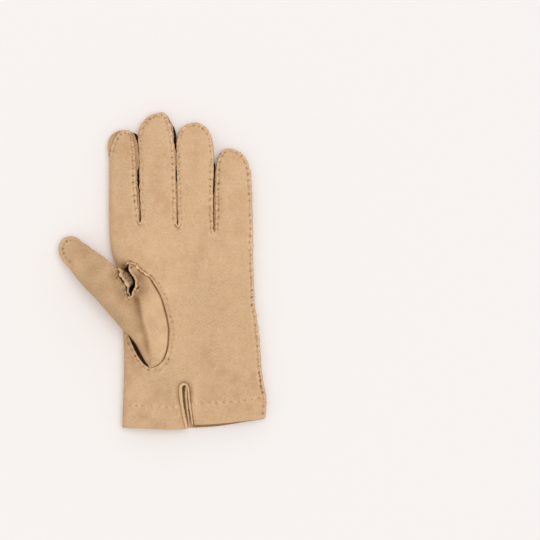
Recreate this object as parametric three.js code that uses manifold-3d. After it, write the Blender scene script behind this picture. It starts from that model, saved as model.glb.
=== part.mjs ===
// A man's suede dress glove for the left hand, lying on its back with the palm up.
// Millimetres. +X is to the little finger's side, +Y towards the fingertips, +Z up.
// The origin is the middle of the glove's outline, on the surface that it lies on.
//
// The glove is sewn from a trank (palm and back in one piece of leather, folded
// along the index finger's side), three fourchettes between the fingers, a set-in
// thumb, a quirk in the thumb's crotch and a binding round the wrist vent.
import * as THREE from "three";
import { mergeVertices } from "three/addons/utils/BufferGeometryUtils.js";
import Module from "manifold-3d";

const wasm = await Module();
wasm.setup();

// ---------------------------------------------------------------- named sizes
const WALL = 1.2; // one layer of suede
const HEM_WALL = 2.2; // the folded hem at the cuff
const HEM_HEIGHT = 18; // from the cuff's edge to the hem's stitch line
const GAP = 0.3; // between two sewn pieces
const RIM_EASE = 0.15; // the thumb's hole round its rim, before that gap
const SEAM_LAND = 6; // where palm and back lie together inside the side seam
const FINGER_LAP = 14; // how far a finger's form runs down into the palm's
const TIP_SEAM_LOW = 3.0; // the two layers of a fingertip's seam
const TIP_SEAM_HIGH = 5.4;
const TIP_POWER = 2.3; // roundness of a fingertip in plan
const SHORT = 0.12; // edges and triangles finer than these are evened out
const THIN = 0.02;

// How palm and back meet at one side of a section. inset: from the side to where
// the top and bottom faces end; top, bottom: heights there, as shares of the
// section's height; bulge: how far the side stands out between them.
const SIDES = {
  fold: { inset: 3.6, top: 0.86, bottom: 0.13, bulge: 3.6, land: 0 },
  wall: { inset: 0, top: 0.84, bottom: 0.12, bulge: -0.5, land: WALL },
  seam: { inset: 0, top: 0.52, bottom: 0.34, bulge: 0.2, land: SEAM_LAND },
};

// The hand, from the cuff to the roots of the fingers: a row for each section.
const HAND = [
  { y: -122.4, left: -31.3, right: 80.2, height: 11.0 },
  { y: -104.0, left: -30.8, right: 79.9, height: 11.4 },
  { y: -84.0, left: -30.0, right: 77.4, height: 12.4 },
  { y: -68.5, left: -29.9, right: 75.6, height: 13.2 },
  { y: -53.1, left: -30.2, right: 73.9, height: 13.8 },
  { y: -37.7, left: -31.2, right: 72.4, height: 14.0 },
  { y: -22.3, left: -32.1, right: 70.8, height: 14.0 },
  { y: -8.0, left: -33.6, right: 70.0, height: 14.0 },
  { y: 4.0, left: -35.9, right: 69.4, height: 13.8 },
  { y: 16.2, left: -39.7, right: 69.0, height: 13.6 },
  { y: 36.0, left: -41.0, right: 69.0, height: 13.4 },
];
// The cuff's edge and the line of the crotches, across the hand.
const CUFF_LINE = [
  { x: -31.3, y: -121.4 },
  { x: 16.0, y: -122.4 },
  { x: 36.0, y: -119.8 },
  { x: 80.2, y: -113.4 },
];
const CROTCH_LINE = [
  { x: -41.0, y: 38.5 },
  { x: -17.5, y: 37.3 },
  { x: 11.2, y: 35.0 },
  { x: 39.3, y: 29.6 },
  { x: 69.0, y: 27.0 },
];

// The fingers. root: edges at the crotch; high: edges where the tip's round starts;
// lap: how much lower and narrower the form is where it starts inside the palm.
const FINGERS = [
  { name: "index", rootLeft: -41.0, rootRight: -18.1, highLeft: -41.7, highRight: -19.6, tipX: -29.3, tipY: 108.3, tipRound: 14, height: 12.2, left: "fold", right: "wall", lapLower: 2.6, lapNarrow: 3.0 },
  { name: "middle", rootLeft: -16.9, rootRight: 10.7, highLeft: -18.4, highRight: 9.2, tipX: -2.6, tipY: 122.4, tipRound: 18, height: 13.0, left: "wall", right: "wall", lapLower: 2.0, lapNarrow: 2.6 },
  { name: "ring", rootLeft: 11.9, rootRight: 38.7, highLeft: 10.6, highRight: 38.6, tipX: 25.1, tipY: 114.3, tipRound: 17, height: 12.8, left: "wall", right: "wall", lapLower: 2.4, lapNarrow: 2.6 },
  { name: "little", rootLeft: 40.0, rootRight: 69.0, highLeft: 40.5, highRight: 67.6, tipX: 52.0, tipY: 94.5, tipRound: 18, height: 12.0, left: "wall", right: "seam", lapLower: 4.2, lapNarrow: 4.0 },
];
const ROOT_HEIGHT = 13.0; // of every finger, where it leaves the palm

// The fourchettes: the band of each pair's facing sides, from crotch to tips.
const FOURCHETTES = [
  { name: "fourchette_index_middle", rootX: -17.5, rootY: 37.3, highX: -19.0, highY: 100.0, cleft: 1.2 },
  { name: "fourchette_middle_ring", rootX: 11.3, rootY: 35.0, highX: 9.9, highY: 105.0, cleft: 1.4 },
  { name: "fourchette_ring_little", rootX: 39.35, rootY: 29.6, highX: 39.55, highY: 84.0, cleft: 1.9 },
];
const FOURCHETTE_DEPTH = 3.2; // reach of the band past the crotch
const BAND_ROOM = WALL + 0.9; // reach into each finger

// The thumb. Its tube runs from the tip to the crotch in upright sections, and its
// base fans out from there into the oval hole in the palm.
const THUMB = { tipX: -78.4, tipY: 23.6, dirX: 0.722, dirY: -0.692, tipRound: 12, halfUpper: 9.3, halfLower: 8.6, grow: 0.117, growLower: 0.109, tipHeight: 6.6, crotchHeight: 18.3, crotchAt: 43.0, thick: 6.3 };
const THUMB_STATIONS = [0.25, 1.2, 3.2, 6.5, 12, 21, 32, 43];
// upper, lower: the section's two ends; tilt: degrees from the palm's plane;
// crown, under: its reach above and below the line between those ends.
const THUMB_BASE = [
  { upperX: -35.6, upperY: 4.0, lowerX: -48.4, lowerY: -25.4, z: 18.4, tilt: 82, crown: 7.2, under: 5.9 },
  { upperX: -33.2, upperY: 4.4, lowerX: -40.9, lowerY: -34.6, z: 17.8, tilt: 70, crown: 8.4, under: 5.0 },
  { upperX: -30.4, upperY: 4.8, lowerX: -31.8, lowerY: -45.6, z: 16.6, tilt: 52, crown: 10.6, under: 4.8 },
  { upperX: -27.4, upperY: 5.1, lowerX: -22.0, lowerY: -57.5, z: 15.2, tilt: 33, crown: 13.6, under: 6.6 },
  { upperX: -24.4, upperY: 5.4, lowerX: -14.0, lowerY: -67.4, z: 14.0, tilt: 15, crown: 15.9, under: 10.6 },
  { upperX: -21.4, upperY: 5.6, lowerX: -8.6, lowerY: -73.9, z: 12.9, tilt: 0, crown: 17.2, under: 13.2 },
  { upperX: -21.4, upperY: 5.6, lowerX: -8.6, lowerY: -73.9, z: 7.0, tilt: 0, crown: 17.2, under: 13.2 },
];
// The notch of the quirk: along its length, half width and the height of its floor.
const QUIRK = [
  { x: -31.6, y: 9.0, half: 4.4, floor: 11.0 },
  { x: -29.8, y: 2.0, half: 4.1, floor: 12.4 },
  { x: -27.6, y: -6.0, half: 3.0, floor: 15.0 },
  { x: -25.0, y: -15.5, half: 1.7, floor: 18.0 },
];
const QUIRK_WALL = 1.0;

// The wrist vent, in the palm: its middle line and the binding's outer half width.
const VENT = [
  { x: 15.8, y: -93.0 },
  { x: 17.6, y: -108.0 },
  { x: 20.2, y: -126.0 },
];
const VENT_TOP = 6.6; // from the slit's end to the top of the round
const BINDING_HALF = 5.0;
const SLIT_HALF = 0.8;
const BINDING_PROUD = 0.5;

const SUEDE = new THREE.MeshStandardMaterial({ color: 0xd2ad86, roughness: 0.95, metalness: 0 });
const SUEDE_SIDE = new THREE.MeshStandardMaterial({ color: 0xb98f68, roughness: 0.95, metalness: 0 });
const SUEDE_BINDING = new THREE.MeshStandardMaterial({ color: 0xd8b48e, roughness: 0.9, metalness: 0 });

// ------------------------------------------------------------------- geometry
const mix = (a, b, t) => a + (b - a) * t;
const along = (table, x) => {
  for (let i = 1; i < table.length; i++)
    if (x <= table[i].x || i === table.length - 1) {
      const a = table[i - 1], b = table[i];
      return mix(a.y, b.y, Math.max(0, (x - a.x) / (b.x - a.x)));
    }
};
// A row's values at any y, from a table sorted by y.
const rowAt = (table, y) => {
  let i = 1;
  while (i < table.length - 1 && y > table[i].y) i++;
  const a = table[i - 1], b = table[i], t = (y - a.y) / (b.y - a.y);
  return { y, left: mix(a.left, b.left, t), right: mix(a.right, b.right, t), height: mix(a.height, b.height, t) };
};

// Closed body through rings of points, capped at both ends.
function loft(rings) {
  const n = rings[0].length, pos = [], idx = [];
  rings.forEach((r) => r.forEach((p) => pos.push(p.x, p.y, p.z)));
  for (let k = 0; k + 1 < rings.length; k++)
    for (let i = 0; i < n; i++) {
      const a = k * n + i, b = k * n + ((i + 1) % n);
      idx.push(a, b, a + n, b, b + n, a + n);
    }
  for (const [k, turn] of [[0, true], [rings.length - 1, false]]) {
    const c = rings[k].reduce((s, p) => s.add(p), new THREE.Vector3()).divideScalar(n);
    const at = pos.length / 3;
    pos.push(c.x, c.y, c.z);
    for (let i = 0; i < n; i++) {
      const a = k * n + i, b = k * n + ((i + 1) % n);
      turn ? idx.push(b, a, at) : idx.push(a, b, at);
    }
  }
  const g = new THREE.BufferGeometry();
  g.setAttribute("position", new THREE.Float32BufferAttribute(pos, 3));
  g.setIndex(idx);
  return g;
}
// A geometry as a solid for joining and cutting, facing out.
function solid(geometry) {
  const g = geometry.clone();
  for (const name of Object.keys(g.attributes)) if (name !== "position") g.deleteAttribute(name);
  const m = mergeVertices(g, 1e-4);
  const tri = new Uint32Array(m.index.array);
  const p = m.attributes.position, v = [0, 1, 2].map(() => new THREE.Vector3());
  let volume = 0;
  for (let i = 0; i < tri.length; i += 3) {
    v.forEach((q, j) => q.fromBufferAttribute(p, tri[i + j]));
    volume += v[0].dot(v[1].clone().cross(v[2]));
  }
  if (volume < 0) for (let i = 0; i < tri.length; i += 3) [tri[i + 1], tri[i + 2]] = [tri[i + 2], tri[i + 1]];
  return new wasm.Manifold(new wasm.Mesh({ numProp: 3, vertProperties: p.array, triVerts: tri }));
}
// The same closed surface without its slivers: edges under SHORT are drawn
// together, and the long side of a triangle lower than THIN is turned.
function even(vertices, triangles) {
  const at = (i) => new THREE.Vector3(vertices[3 * i], vertices[3 * i + 1], vertices[3 * i + 2]);
  const P = Array.from({ length: vertices.length / 3 }, (_, i) => at(i));
  let T = Array.from({ length: triangles.length / 3 }, (_, i) => [...triangles.slice(3 * i, 3 * i + 3)]);
  const normal = (a, b, c) => P[b].clone().sub(P[a]).cross(P[c].clone().sub(P[a]));
  const low = (t) => {
    const e = [0, 1, 2].map((k) => P[t[k]].distanceTo(P[t[(k + 1) % 3]])), long = Math.max(...e);
    return { height: normal(...t).length() / long, side: e.indexOf(long), short: Math.min(...e), shortSide: e.indexOf(Math.min(...e)) };
  };
  for (let pass = 0; pass < 40; pass++) {
    const near = P.map(() => new Set()), owner = new Map();
    T.forEach((t, i) => t.forEach((a, k) => {
      const b = t[(k + 1) % 3];
      near[a].add(b), near[b].add(a);
      owner.set(a + "," + b, i);
    }));
    const busy = new Set(), gone = new Set();
    const free = (ids) => ids.every((v) => !busy.has(v));
    const hold = (ids) => ids.forEach((v) => { busy.add(v); near[v].forEach((w) => busy.add(w)); });
    let changes = 0;
    T.forEach((t, i) => {
      if (gone.has(i)) return;
      const q = low(t);
      if (q.short < SHORT) {
        const a = t[q.shortSide], b = t[(q.shortSide + 1) % 3];
        const shared = [...near[a]].filter((v) => near[b].has(v));
        if (shared.length !== 2 || !free([a, b, ...shared])) return;
        const around = T.filter((u) => u.includes(b) && !u.includes(a));
        const turned = around.some((u) => {
          const v = u.map((w) => (w === b ? a : w));
          return normal(...u).length() > 1e-3 && normal(...v).dot(normal(...u)) < 0;
        });
        if (turned) return;
        hold([a, b]);
        T.forEach((u, j) => {
          if (!u.includes(b)) return;
          if (u.includes(a)) gone.add(j);
          else T[j] = u.map((w) => (w === b ? a : w));
        });
        changes++;
      } else if (q.height < THIN) {
        const a = t[q.side], b = t[(q.side + 1) % 3], c = t[(q.side + 2) % 3];
        const j = owner.get(b + "," + a);
        if (j === undefined || gone.has(j) || !T[j].includes(a) || !T[j].includes(b)) return;
        const d = T[j].find((v) => v !== a && v !== b);
        if (near[c].has(d) || !free([a, b, c, d])) return;
        const one = [a, d, c], two = [d, b, c], was = normal(...T[j]);
        if (normal(...one).dot(was) < 0 || normal(...two).dot(was) < 0) return;
        if (Math.min(low(one).height, low(two).height) <= q.height) return;
        hold([a, b, c, d]);
        T[i] = one;
        T[j] = two;
        changes++;
      }
    });
    T = T.filter((_, i) => !gone.has(i));
    if (!changes) break;
  }
  const used = new Map(), points = [];
  const faces = T.flatMap((t) => t.map((v) => {
    if (!used.has(v)) used.set(v, used.size), points.push(P[v].x, P[v].y, P[v].z);
    return used.get(v);
  }));
  return { points, faces };
}
function meshOf(made, name, material) {
  const m = made.getMesh(), g = new THREE.BufferGeometry();
  const { points, faces } = even(m.vertProperties, m.triVerts);
  g.setAttribute("position", new THREE.BufferAttribute(new Float32Array(points), 3));
  g.setIndex(new THREE.BufferAttribute(new Uint32Array(faces), 1));
  const mesh = new THREE.Mesh(g, material);
  mesh.name = name;
  return mesh;
}

// A flat section of a hand or finger as x, z pairs: over the top, round the right
// side, back under and round the left side. cut is how far it lies inside the
// leather's outer face.
function section({ left, right, low, high, leftSide, rightSide, cut, across }) {
  const h = high - low, l = SIDES[leftSide], r = SIDES[rightSide];
  const top = (x) => {
    const s = (2 * (x - left)) / (right - left) - 1;
    const edge = low + h * (s < 0 ? l.top : r.top);
    return edge + (high - edge) * (1 - Math.abs(s) ** 3);
  };
  const bottom = (x) => {
    const s = Math.abs((2 * (x - left)) / (right - left) - 1);
    const edge = h * ((2 * (x - left)) / (right - left) - 1 < 0 ? l.bottom : r.bottom);
    return low + edge * Math.max(0, (s - 0.55) / 0.45) ** 2;
  };
  const room = cut > 0 ? 1 : 0;
  const x0 = left + l.inset + (room ? l.land + (l.land ? cut - WALL : 0) : 0);
  const x1 = right - r.inset - (room ? r.land + (r.land ? cut - WALL : 0) : 0);
  const grow = cut < 0 ? -cut : 0;
  const a = l.inset ? x0 : x0 - grow, b = r.inset ? x1 : x1 + grow;
  const clampX = (x) => Math.min(right, Math.max(left, x));
  const pts = [];
  for (let i = 0; i <= across; i++) {
    const x = mix(a, b, i / across);
    pts.push([x, top(clampX(x)) - cut]);
  }
  const side = (x, zFrom, zTo, out) => {
    for (let i = 1; i < 4; i++) pts.push([x + out * Math.sin((Math.PI * i) / 4), mix(zFrom, zTo, 0.5 - 0.5 * Math.cos((Math.PI * i) / 4))]);
  };
  const bulge = (s) => (s.inset ? s.bulge - cut : s.bulge);
  side(b, top(clampX(b)) - cut, bottom(clampX(b)) + cut, bulge(r));
  for (let i = across; i >= 0; i--) {
    const x = mix(a, b, i / across);
    pts.push([x, bottom(clampX(x)) + cut]);
  }
  side(a, bottom(clampX(a)) + cut, top(clampX(a)) - cut, -bulge(l));
  return pts;
}

// The hand's form. cut: depth inside the outer face, over the hem and above it.
function handForm(cut, hemCut) {
  const open = cut > 0;
  const ys = HAND.map((r) => r.y);
  const rings = [];
  const ring = (y, c, bend) => {
    const r = rowAt(HAND, y);
    const pts = section({ left: r.left, right: r.right, low: 0, high: r.height, leftSide: "fold", rightSide: "seam", cut: c, across: 14 });
    rings.push(pts.map(([x, z]) => new THREE.Vector3(x, bend(x, y), z)));
  };
  const first = ys[0], last = ys[ys.length - 1];
  const cuffShift = (x, y) => mix(along(CUFF_LINE, x) - first, 0, Math.min(1, (y - first) / 38));
  const hemTop = first + HEM_HEIGHT;
  const bendLow = (x, y) => y + cuffShift(x, y) - (open && y === first ? 4 : 0);
  ring(first, hemCut, bendLow);
  if (open && hemCut !== cut) {
    ring(hemTop, hemCut, bendLow);
    ring(hemTop + 0.4, cut, bendLow);
  }
  for (const y of ys.slice(2, -1)) ring(y, cut, bendLow);
  ring(last, cut, (x) => along(CROTCH_LINE, x) - (open ? cut : 0));
  return loft(rings);
}

// A finger's form, from inside the palm to its tip.
function fingerForm(f, cut) {
  const rootY = Math.min(along(CROTCH_LINE, f.rootLeft), along(CROTCH_LINE, f.rootRight));
  const start = rootY - FINGER_LAP, highY = f.tipY - f.tipRound;
  const tipCut = cut > 0 ? cut + 2.6 : 0;
  const stations = [start, rootY, mix(rootY, highY, 0.5), highY];
  for (const s of [0.62, 0.34, 0.14, 0.04, 0.006]) stations.push(f.tipY - s * f.tipRound);
  const rings = stations.map((y, i) => {
    const t = Math.min(1, Math.max(0, (y - rootY) / (highY - rootY)));
    const d = Math.min(1, (f.tipY - y) / f.tipRound);
    const round = (1 - (1 - d) ** TIP_POWER) ** (1 / TIP_POWER);
    const l = mix(f.rootLeft, f.highLeft, t), r = mix(f.rootRight, f.highRight, t);
    const left = mix(f.tipX, l, round), right = mix(f.tipX, r, round);
    const puff = Math.sqrt(1 - (1 - d) ** 2);
    const lap = i === 0 ? 1 : 0; // inside the palm the form shrinks clear of the palm's faces
    const high = mix(TIP_SEAM_HIGH, mix(ROOT_HEIGHT, f.height, t), puff) - lap * f.lapLower;
    const low = mix(TIP_SEAM_LOW, 0, puff) + lap * 0.8;
    const narrow = lap ? f.lapNarrow : tipCut && y > highY ? (1 - round) * 2 : 0;
    const pts = section({ left: left + narrow, right: right - narrow, low, high, leftSide: f.left, rightSide: f.right, cut, across: 6 });
    return pts.map(([x, z]) => new THREE.Vector3(x, y, z));
  });
  if (!tipCut) return loft(rings);
  // the hollow stops short of the tip, where the two layers meet
  return loft(rings.slice(0, 7));
}

// The thumb's form, grown by more than 0 or hollowed by less.
function thumbForm(grow, deeper) {
  const T = THUMB, n = 20, rings = [];
  const oval = (upper, lower, tilt, crown, under, power) => {
    const c = upper.clone().add(lower).multiplyScalar(0.5);
    const w = upper.clone().sub(lower), half = w.length() / 2 + grow;
    w.normalize();
    const flat = new THREE.Vector3(-w.y, w.x, 0).normalize().negate();
    const a = THREE.MathUtils.degToRad(tilt);
    const h = flat.multiplyScalar(Math.cos(a)).add(new THREE.Vector3(0, 0, Math.sin(a)));
    return Array.from({ length: n }, (_, i) => {
      const t = (2 * Math.PI * i) / n, cs = Math.cos(t), sn = Math.sin(t);
      const u = Math.sign(cs) * Math.abs(cs) ** (2 / power), v = Math.sign(sn) * Math.abs(sn) ** (2 / power);
      return c.clone().addScaledVector(w, u * half).addScaledVector(h, v * ((v > 0 ? crown : under) + grow));
    });
  };
  const stations = grow < 0 ? THUMB_STATIONS.slice(3) : THUMB_STATIONS;
  stations.forEach((q) => {
    const d = Math.min(1, q / T.tipRound), round = (1 - (1 - d) ** 2.2) ** (1 / 2.2), puff = Math.sqrt(1 - (1 - d) ** 2);
    const s = Math.min(1, q / T.crotchAt);
    const z = mix(T.tipHeight, T.crotchHeight, s ** 1.15);
    const cx = T.tipX + T.dirX * q, cy = T.tipY + T.dirY * q;
    const up = (T.halfUpper + T.grow * q) * round, down = (T.halfLower + T.growLower * q) * round;
    const upper = new THREE.Vector3(cx - T.dirY * up, cy + T.dirX * up, z);
    const lower = new THREE.Vector3(cx + T.dirY * down, cy - T.dirX * down, z);
    const thick = mix(1.3, T.thick, puff);
    rings.push(oval(upper, lower, 90, thick, thick, 2.3));
  });
  THUMB_BASE.forEach((b, i) => {
    const z = i === THUMB_BASE.length - 1 ? b.z - deeper : b.z;
    rings.push(oval(new THREE.Vector3(b.upperX, b.upperY, z), new THREE.Vector3(b.lowerX, b.lowerY, z), b.tilt, b.crown, b.under, 2.15));
  });
  return loft(rings);
}

// The thumb's hole in the palm: its last row's oval as an upright prism.
function thumbHole(grow) {
  const b = THUMB_BASE[THUMB_BASE.length - 1], n = 32;
  const c = new THREE.Vector2((b.upperX + b.lowerX) / 2, (b.upperY + b.lowerY) / 2);
  const w = new THREE.Vector2(b.upperX - b.lowerX, b.upperY - b.lowerY), half = w.length() / 2 + grow;
  w.normalize();
  const shape = new THREE.Shape();
  for (let i = 0; i < n; i++) {
    const t = (2 * Math.PI * i) / n, cs = Math.cos(t), sn = Math.sin(t);
    const u = Math.sign(cs) * Math.abs(cs) ** (2 / 2.15) * half;
    const v = Math.sign(sn) * Math.abs(sn) ** (2 / 2.15) * ((sn > 0 ? b.crown : b.under) + grow);
    const x = c.x + w.x * u + w.y * v, y = c.y + w.y * u - w.x * v;
    i ? shape.lineTo(x, y) : shape.moveTo(x, y);
  }
  return new THREE.ExtrudeGeometry(shape, { depth: 34, bevelEnabled: false }).translate(0, 0, 5.8);
}

// The quirk's trough, shrunk by inset.
function quirkForm(inset) {
  const rings = QUIRK.map((q, i) => {
    const next = QUIRK[Math.min(i + 1, QUIRK.length - 1)], prev = QUIRK[Math.max(i - 1, 0)];
    const d = new THREE.Vector3(next.x - prev.x, next.y - prev.y, 0).normalize();
    const side = new THREE.Vector3(-d.y, d.x, 0).negate();
    const end = i === QUIRK.length - 1 ? inset * 1.2 : i === 0 ? inset * 0.4 : 0;
    const o = new THREE.Vector3(q.x, q.y, 0).addScaledVector(d, -end);
    const w = Math.max(0.25, q.half - inset), f = q.floor + inset;
    return [[-w, 40], [-w, f + 3.4], [-w * 0.62, f + 1], [0, f], [w * 0.62, f + 1], [w, f + 3.4], [w, 40]].map(([s, z]) => o.clone().addScaledVector(side, s).setZ(z));
  });
  return loft(rings);
}

// An upright prism whose plan is an arch round the vent's middle line.
function ventPrism(half, top) {
  const shape = new THREE.Shape();
  const line = VENT.map((p) => new THREE.Vector2(p.x, p.y));
  const left = line.map((p) => [p.x - half, p.y]), right = line.map((p) => [p.x + half, p.y]).reverse();
  const arch = [];
  for (let i = 1; i < 8; i++) arch.push([line[0].x - half * Math.cos((Math.PI * i) / 8), line[0].y + top * Math.sin((Math.PI * i) / 8)]);
  [...left.reverse(), ...arch, ...right.reverse()].forEach(([x, y], i) => (i ? shape.lineTo(x, y) : shape.moveTo(x, y)));
  return new THREE.ExtrudeGeometry(shape, { depth: 30, bevelEnabled: false }).translate(0, 0, 5.8);
}

// The band of a pair of facing finger sides, grown by room.
function bandForm(f, room) {
  const share = (y) => Math.min(1, Math.max(0, (y - f.rootY) / (f.highY - f.rootY)));
  const rows = [f.rootY - FOURCHETTE_DEPTH, f.rootY + 1, mix(f.rootY, f.highY, 0.5), mix(f.rootY, f.highY, 0.82), f.highY];
  const rings = rows.map((y, i) => {
    const s = share(y), end = i === rows.length - 1;
    const half = f.cleft / 2 + BAND_ROOM + room;
    const x = mix(f.rootX, f.highX, s);
    const high = [9.4, 10.3, 9.9, 9.3, 7.2][i] + room, low = [2.6, 1.9, 1.9, 2.1, 3.6][i] - room;
    const yy = i === 0 ? y - room : end ? y + room : y;
    return [[x - half, low], [x + half, low], [x + half, high], [x - half, high]].map(([px, pz]) => new THREE.Vector3(px, yy, pz));
  });
  return loft(rings);
}

// ------------------------------------------------------------------- the glove
const outer = FINGERS.reduce((s, f) => s.add(solid(fingerForm(f, 0))), solid(handForm(0, 0)));
const handHollow = solid(handForm(WALL, HEM_WALL));
const hollow = FINGERS.reduce((s, f) => s.add(solid(fingerForm(f, WALL))), handHollow);
const shell = outer.subtract(hollow);

const thumbOuter = solid(thumbForm(0, 0));
const thumbInner = solid(thumbForm(-WALL, 3));
const notch = solid(quirkForm(0));

const bands = FOURCHETTES.map((f) => ({ name: f.name, piece: solid(bandForm(f, 0)), clear: solid(bandForm(f, GAP)) }));

let trank = shell.subtract(solid(thumbHole(RIM_EASE + GAP))).subtract(solid(ventPrism(BINDING_HALF, VENT_TOP)));
for (const b of bands) trank = trank.subtract(b.clear);
const tidy = (m) => m.decompose().sort((a, b) => b.volume() - a.volume())[0];

// inside the hand's form the thumb keeps to its hole, and clear of the hole's edge
const palmRound = solid(handForm(-GAP, -GAP)).subtract(solid(thumbHole(RIM_EASE)));
const thumb = tidy(thumbOuter.subtract(thumbInner).subtract(handHollow).subtract(palmRound).subtract(notch));
const quirk = tidy(solid(quirkForm(GAP)).subtract(solid(quirkForm(GAP + QUIRK_WALL))).intersect(thumbOuter));
const bindingBand = solid(handForm(-BINDING_PROUD, -BINDING_PROUD)).subtract(solid(handForm(WALL + BINDING_PROUD, HEM_WALL + BINDING_PROUD)));
const binding = tidy(
  bindingBand.intersect(solid(ventPrism(BINDING_HALF - GAP, VENT_TOP - GAP))).subtract(solid(ventPrism(SLIT_HALF, 0.8))),
);

const glove = new THREE.Group();
const add = (made, name, material) => glove.add(meshOf(made, name, material));
add(tidy(trank), "trank", SUEDE);
for (const b of bands) add(tidy(shell.intersect(b.piece)), b.name, SUEDE_SIDE);
add(thumb, "thumb", SUEDE);
add(quirk, "thumb_quirk", SUEDE_SIDE);
add(binding, "vent_binding", SUEDE_BINDING);

export default glove;
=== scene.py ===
"""A suede dress glove for the left hand, lying palm up, as seen from straight above.

Lengths in the tables are millimetres in the part's own frame: +X to the little
finger's side, +Y towards the fingertips, +Z up, the floor at 0.
"""

import math

import bpy
import numpy as np
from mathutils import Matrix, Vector, kdtree
from mathutils.geometry import delaunay_2d_cdt


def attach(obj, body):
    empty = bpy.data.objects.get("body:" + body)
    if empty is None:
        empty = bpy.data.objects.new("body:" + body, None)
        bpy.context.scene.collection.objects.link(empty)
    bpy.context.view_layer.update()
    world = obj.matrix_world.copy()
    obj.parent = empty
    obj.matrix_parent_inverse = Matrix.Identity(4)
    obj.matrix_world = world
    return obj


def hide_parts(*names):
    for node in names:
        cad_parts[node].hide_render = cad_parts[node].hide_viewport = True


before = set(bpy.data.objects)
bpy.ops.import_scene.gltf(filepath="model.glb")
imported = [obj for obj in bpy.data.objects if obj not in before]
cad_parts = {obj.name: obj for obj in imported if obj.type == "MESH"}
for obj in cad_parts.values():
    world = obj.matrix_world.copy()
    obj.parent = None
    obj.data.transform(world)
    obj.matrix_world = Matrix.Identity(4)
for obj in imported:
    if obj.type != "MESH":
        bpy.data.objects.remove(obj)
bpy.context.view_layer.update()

MM = 0.001
LEATHER = 0.9  # one layer of suede
HEM = 1.9  # two layers, at the cuff
PITCH = 5.3  # from stitch to stitch
STEP = 0.6  # along an edge
CENTRE = np.array([82.4, 0.8])  # what the camera is above
FINE = [0.22, 0.55, 0.95, 1.4, 1.85, 2.3, 2.8, 3.4, 4.1]  # rows of points inside an edge
SPACING = 1.15  # between points elsewhere

# ------------------------------------------------------------------ the tables
# x, y, z of the edge, reach of the rise beside it, lip (1 where raw edges stand
# out beside a seam, 0 at a fold)
FOLD = [
    (-31.3, -120.4, 5.2, 22, 0),
    (-31.1, -111.7, 5.4, 22, 0),
    (-30.5, -98.0, 5.8, 22, 0),
    (-30.0, -82.0, 6.2, 22, 0),
    (-30.0, -62.0, 6.5, 22, 0),
    (-30.8, -45.4, 6.6, 22, 0),
    (-31.9, -30.0, 6.4, 20, 0),
    (-33.4, -14.6, 6.2, 18, 0),
    (-35.3, 2.3, 6.0, 16, 0),
    (-37.6, 8.8, 6.0, 15, 0),
    (-39.6, 16.2, 6.0, 14, 0),
    (-41.0, 27.7, 6.0, 12, 0),
    (-41.5, 45.0, 6.0, 10, 0),
    (-41.4, 64.0, 5.9, 10, 0),
    (-41.4, 84.0, 5.6, 10, 0),
]
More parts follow.
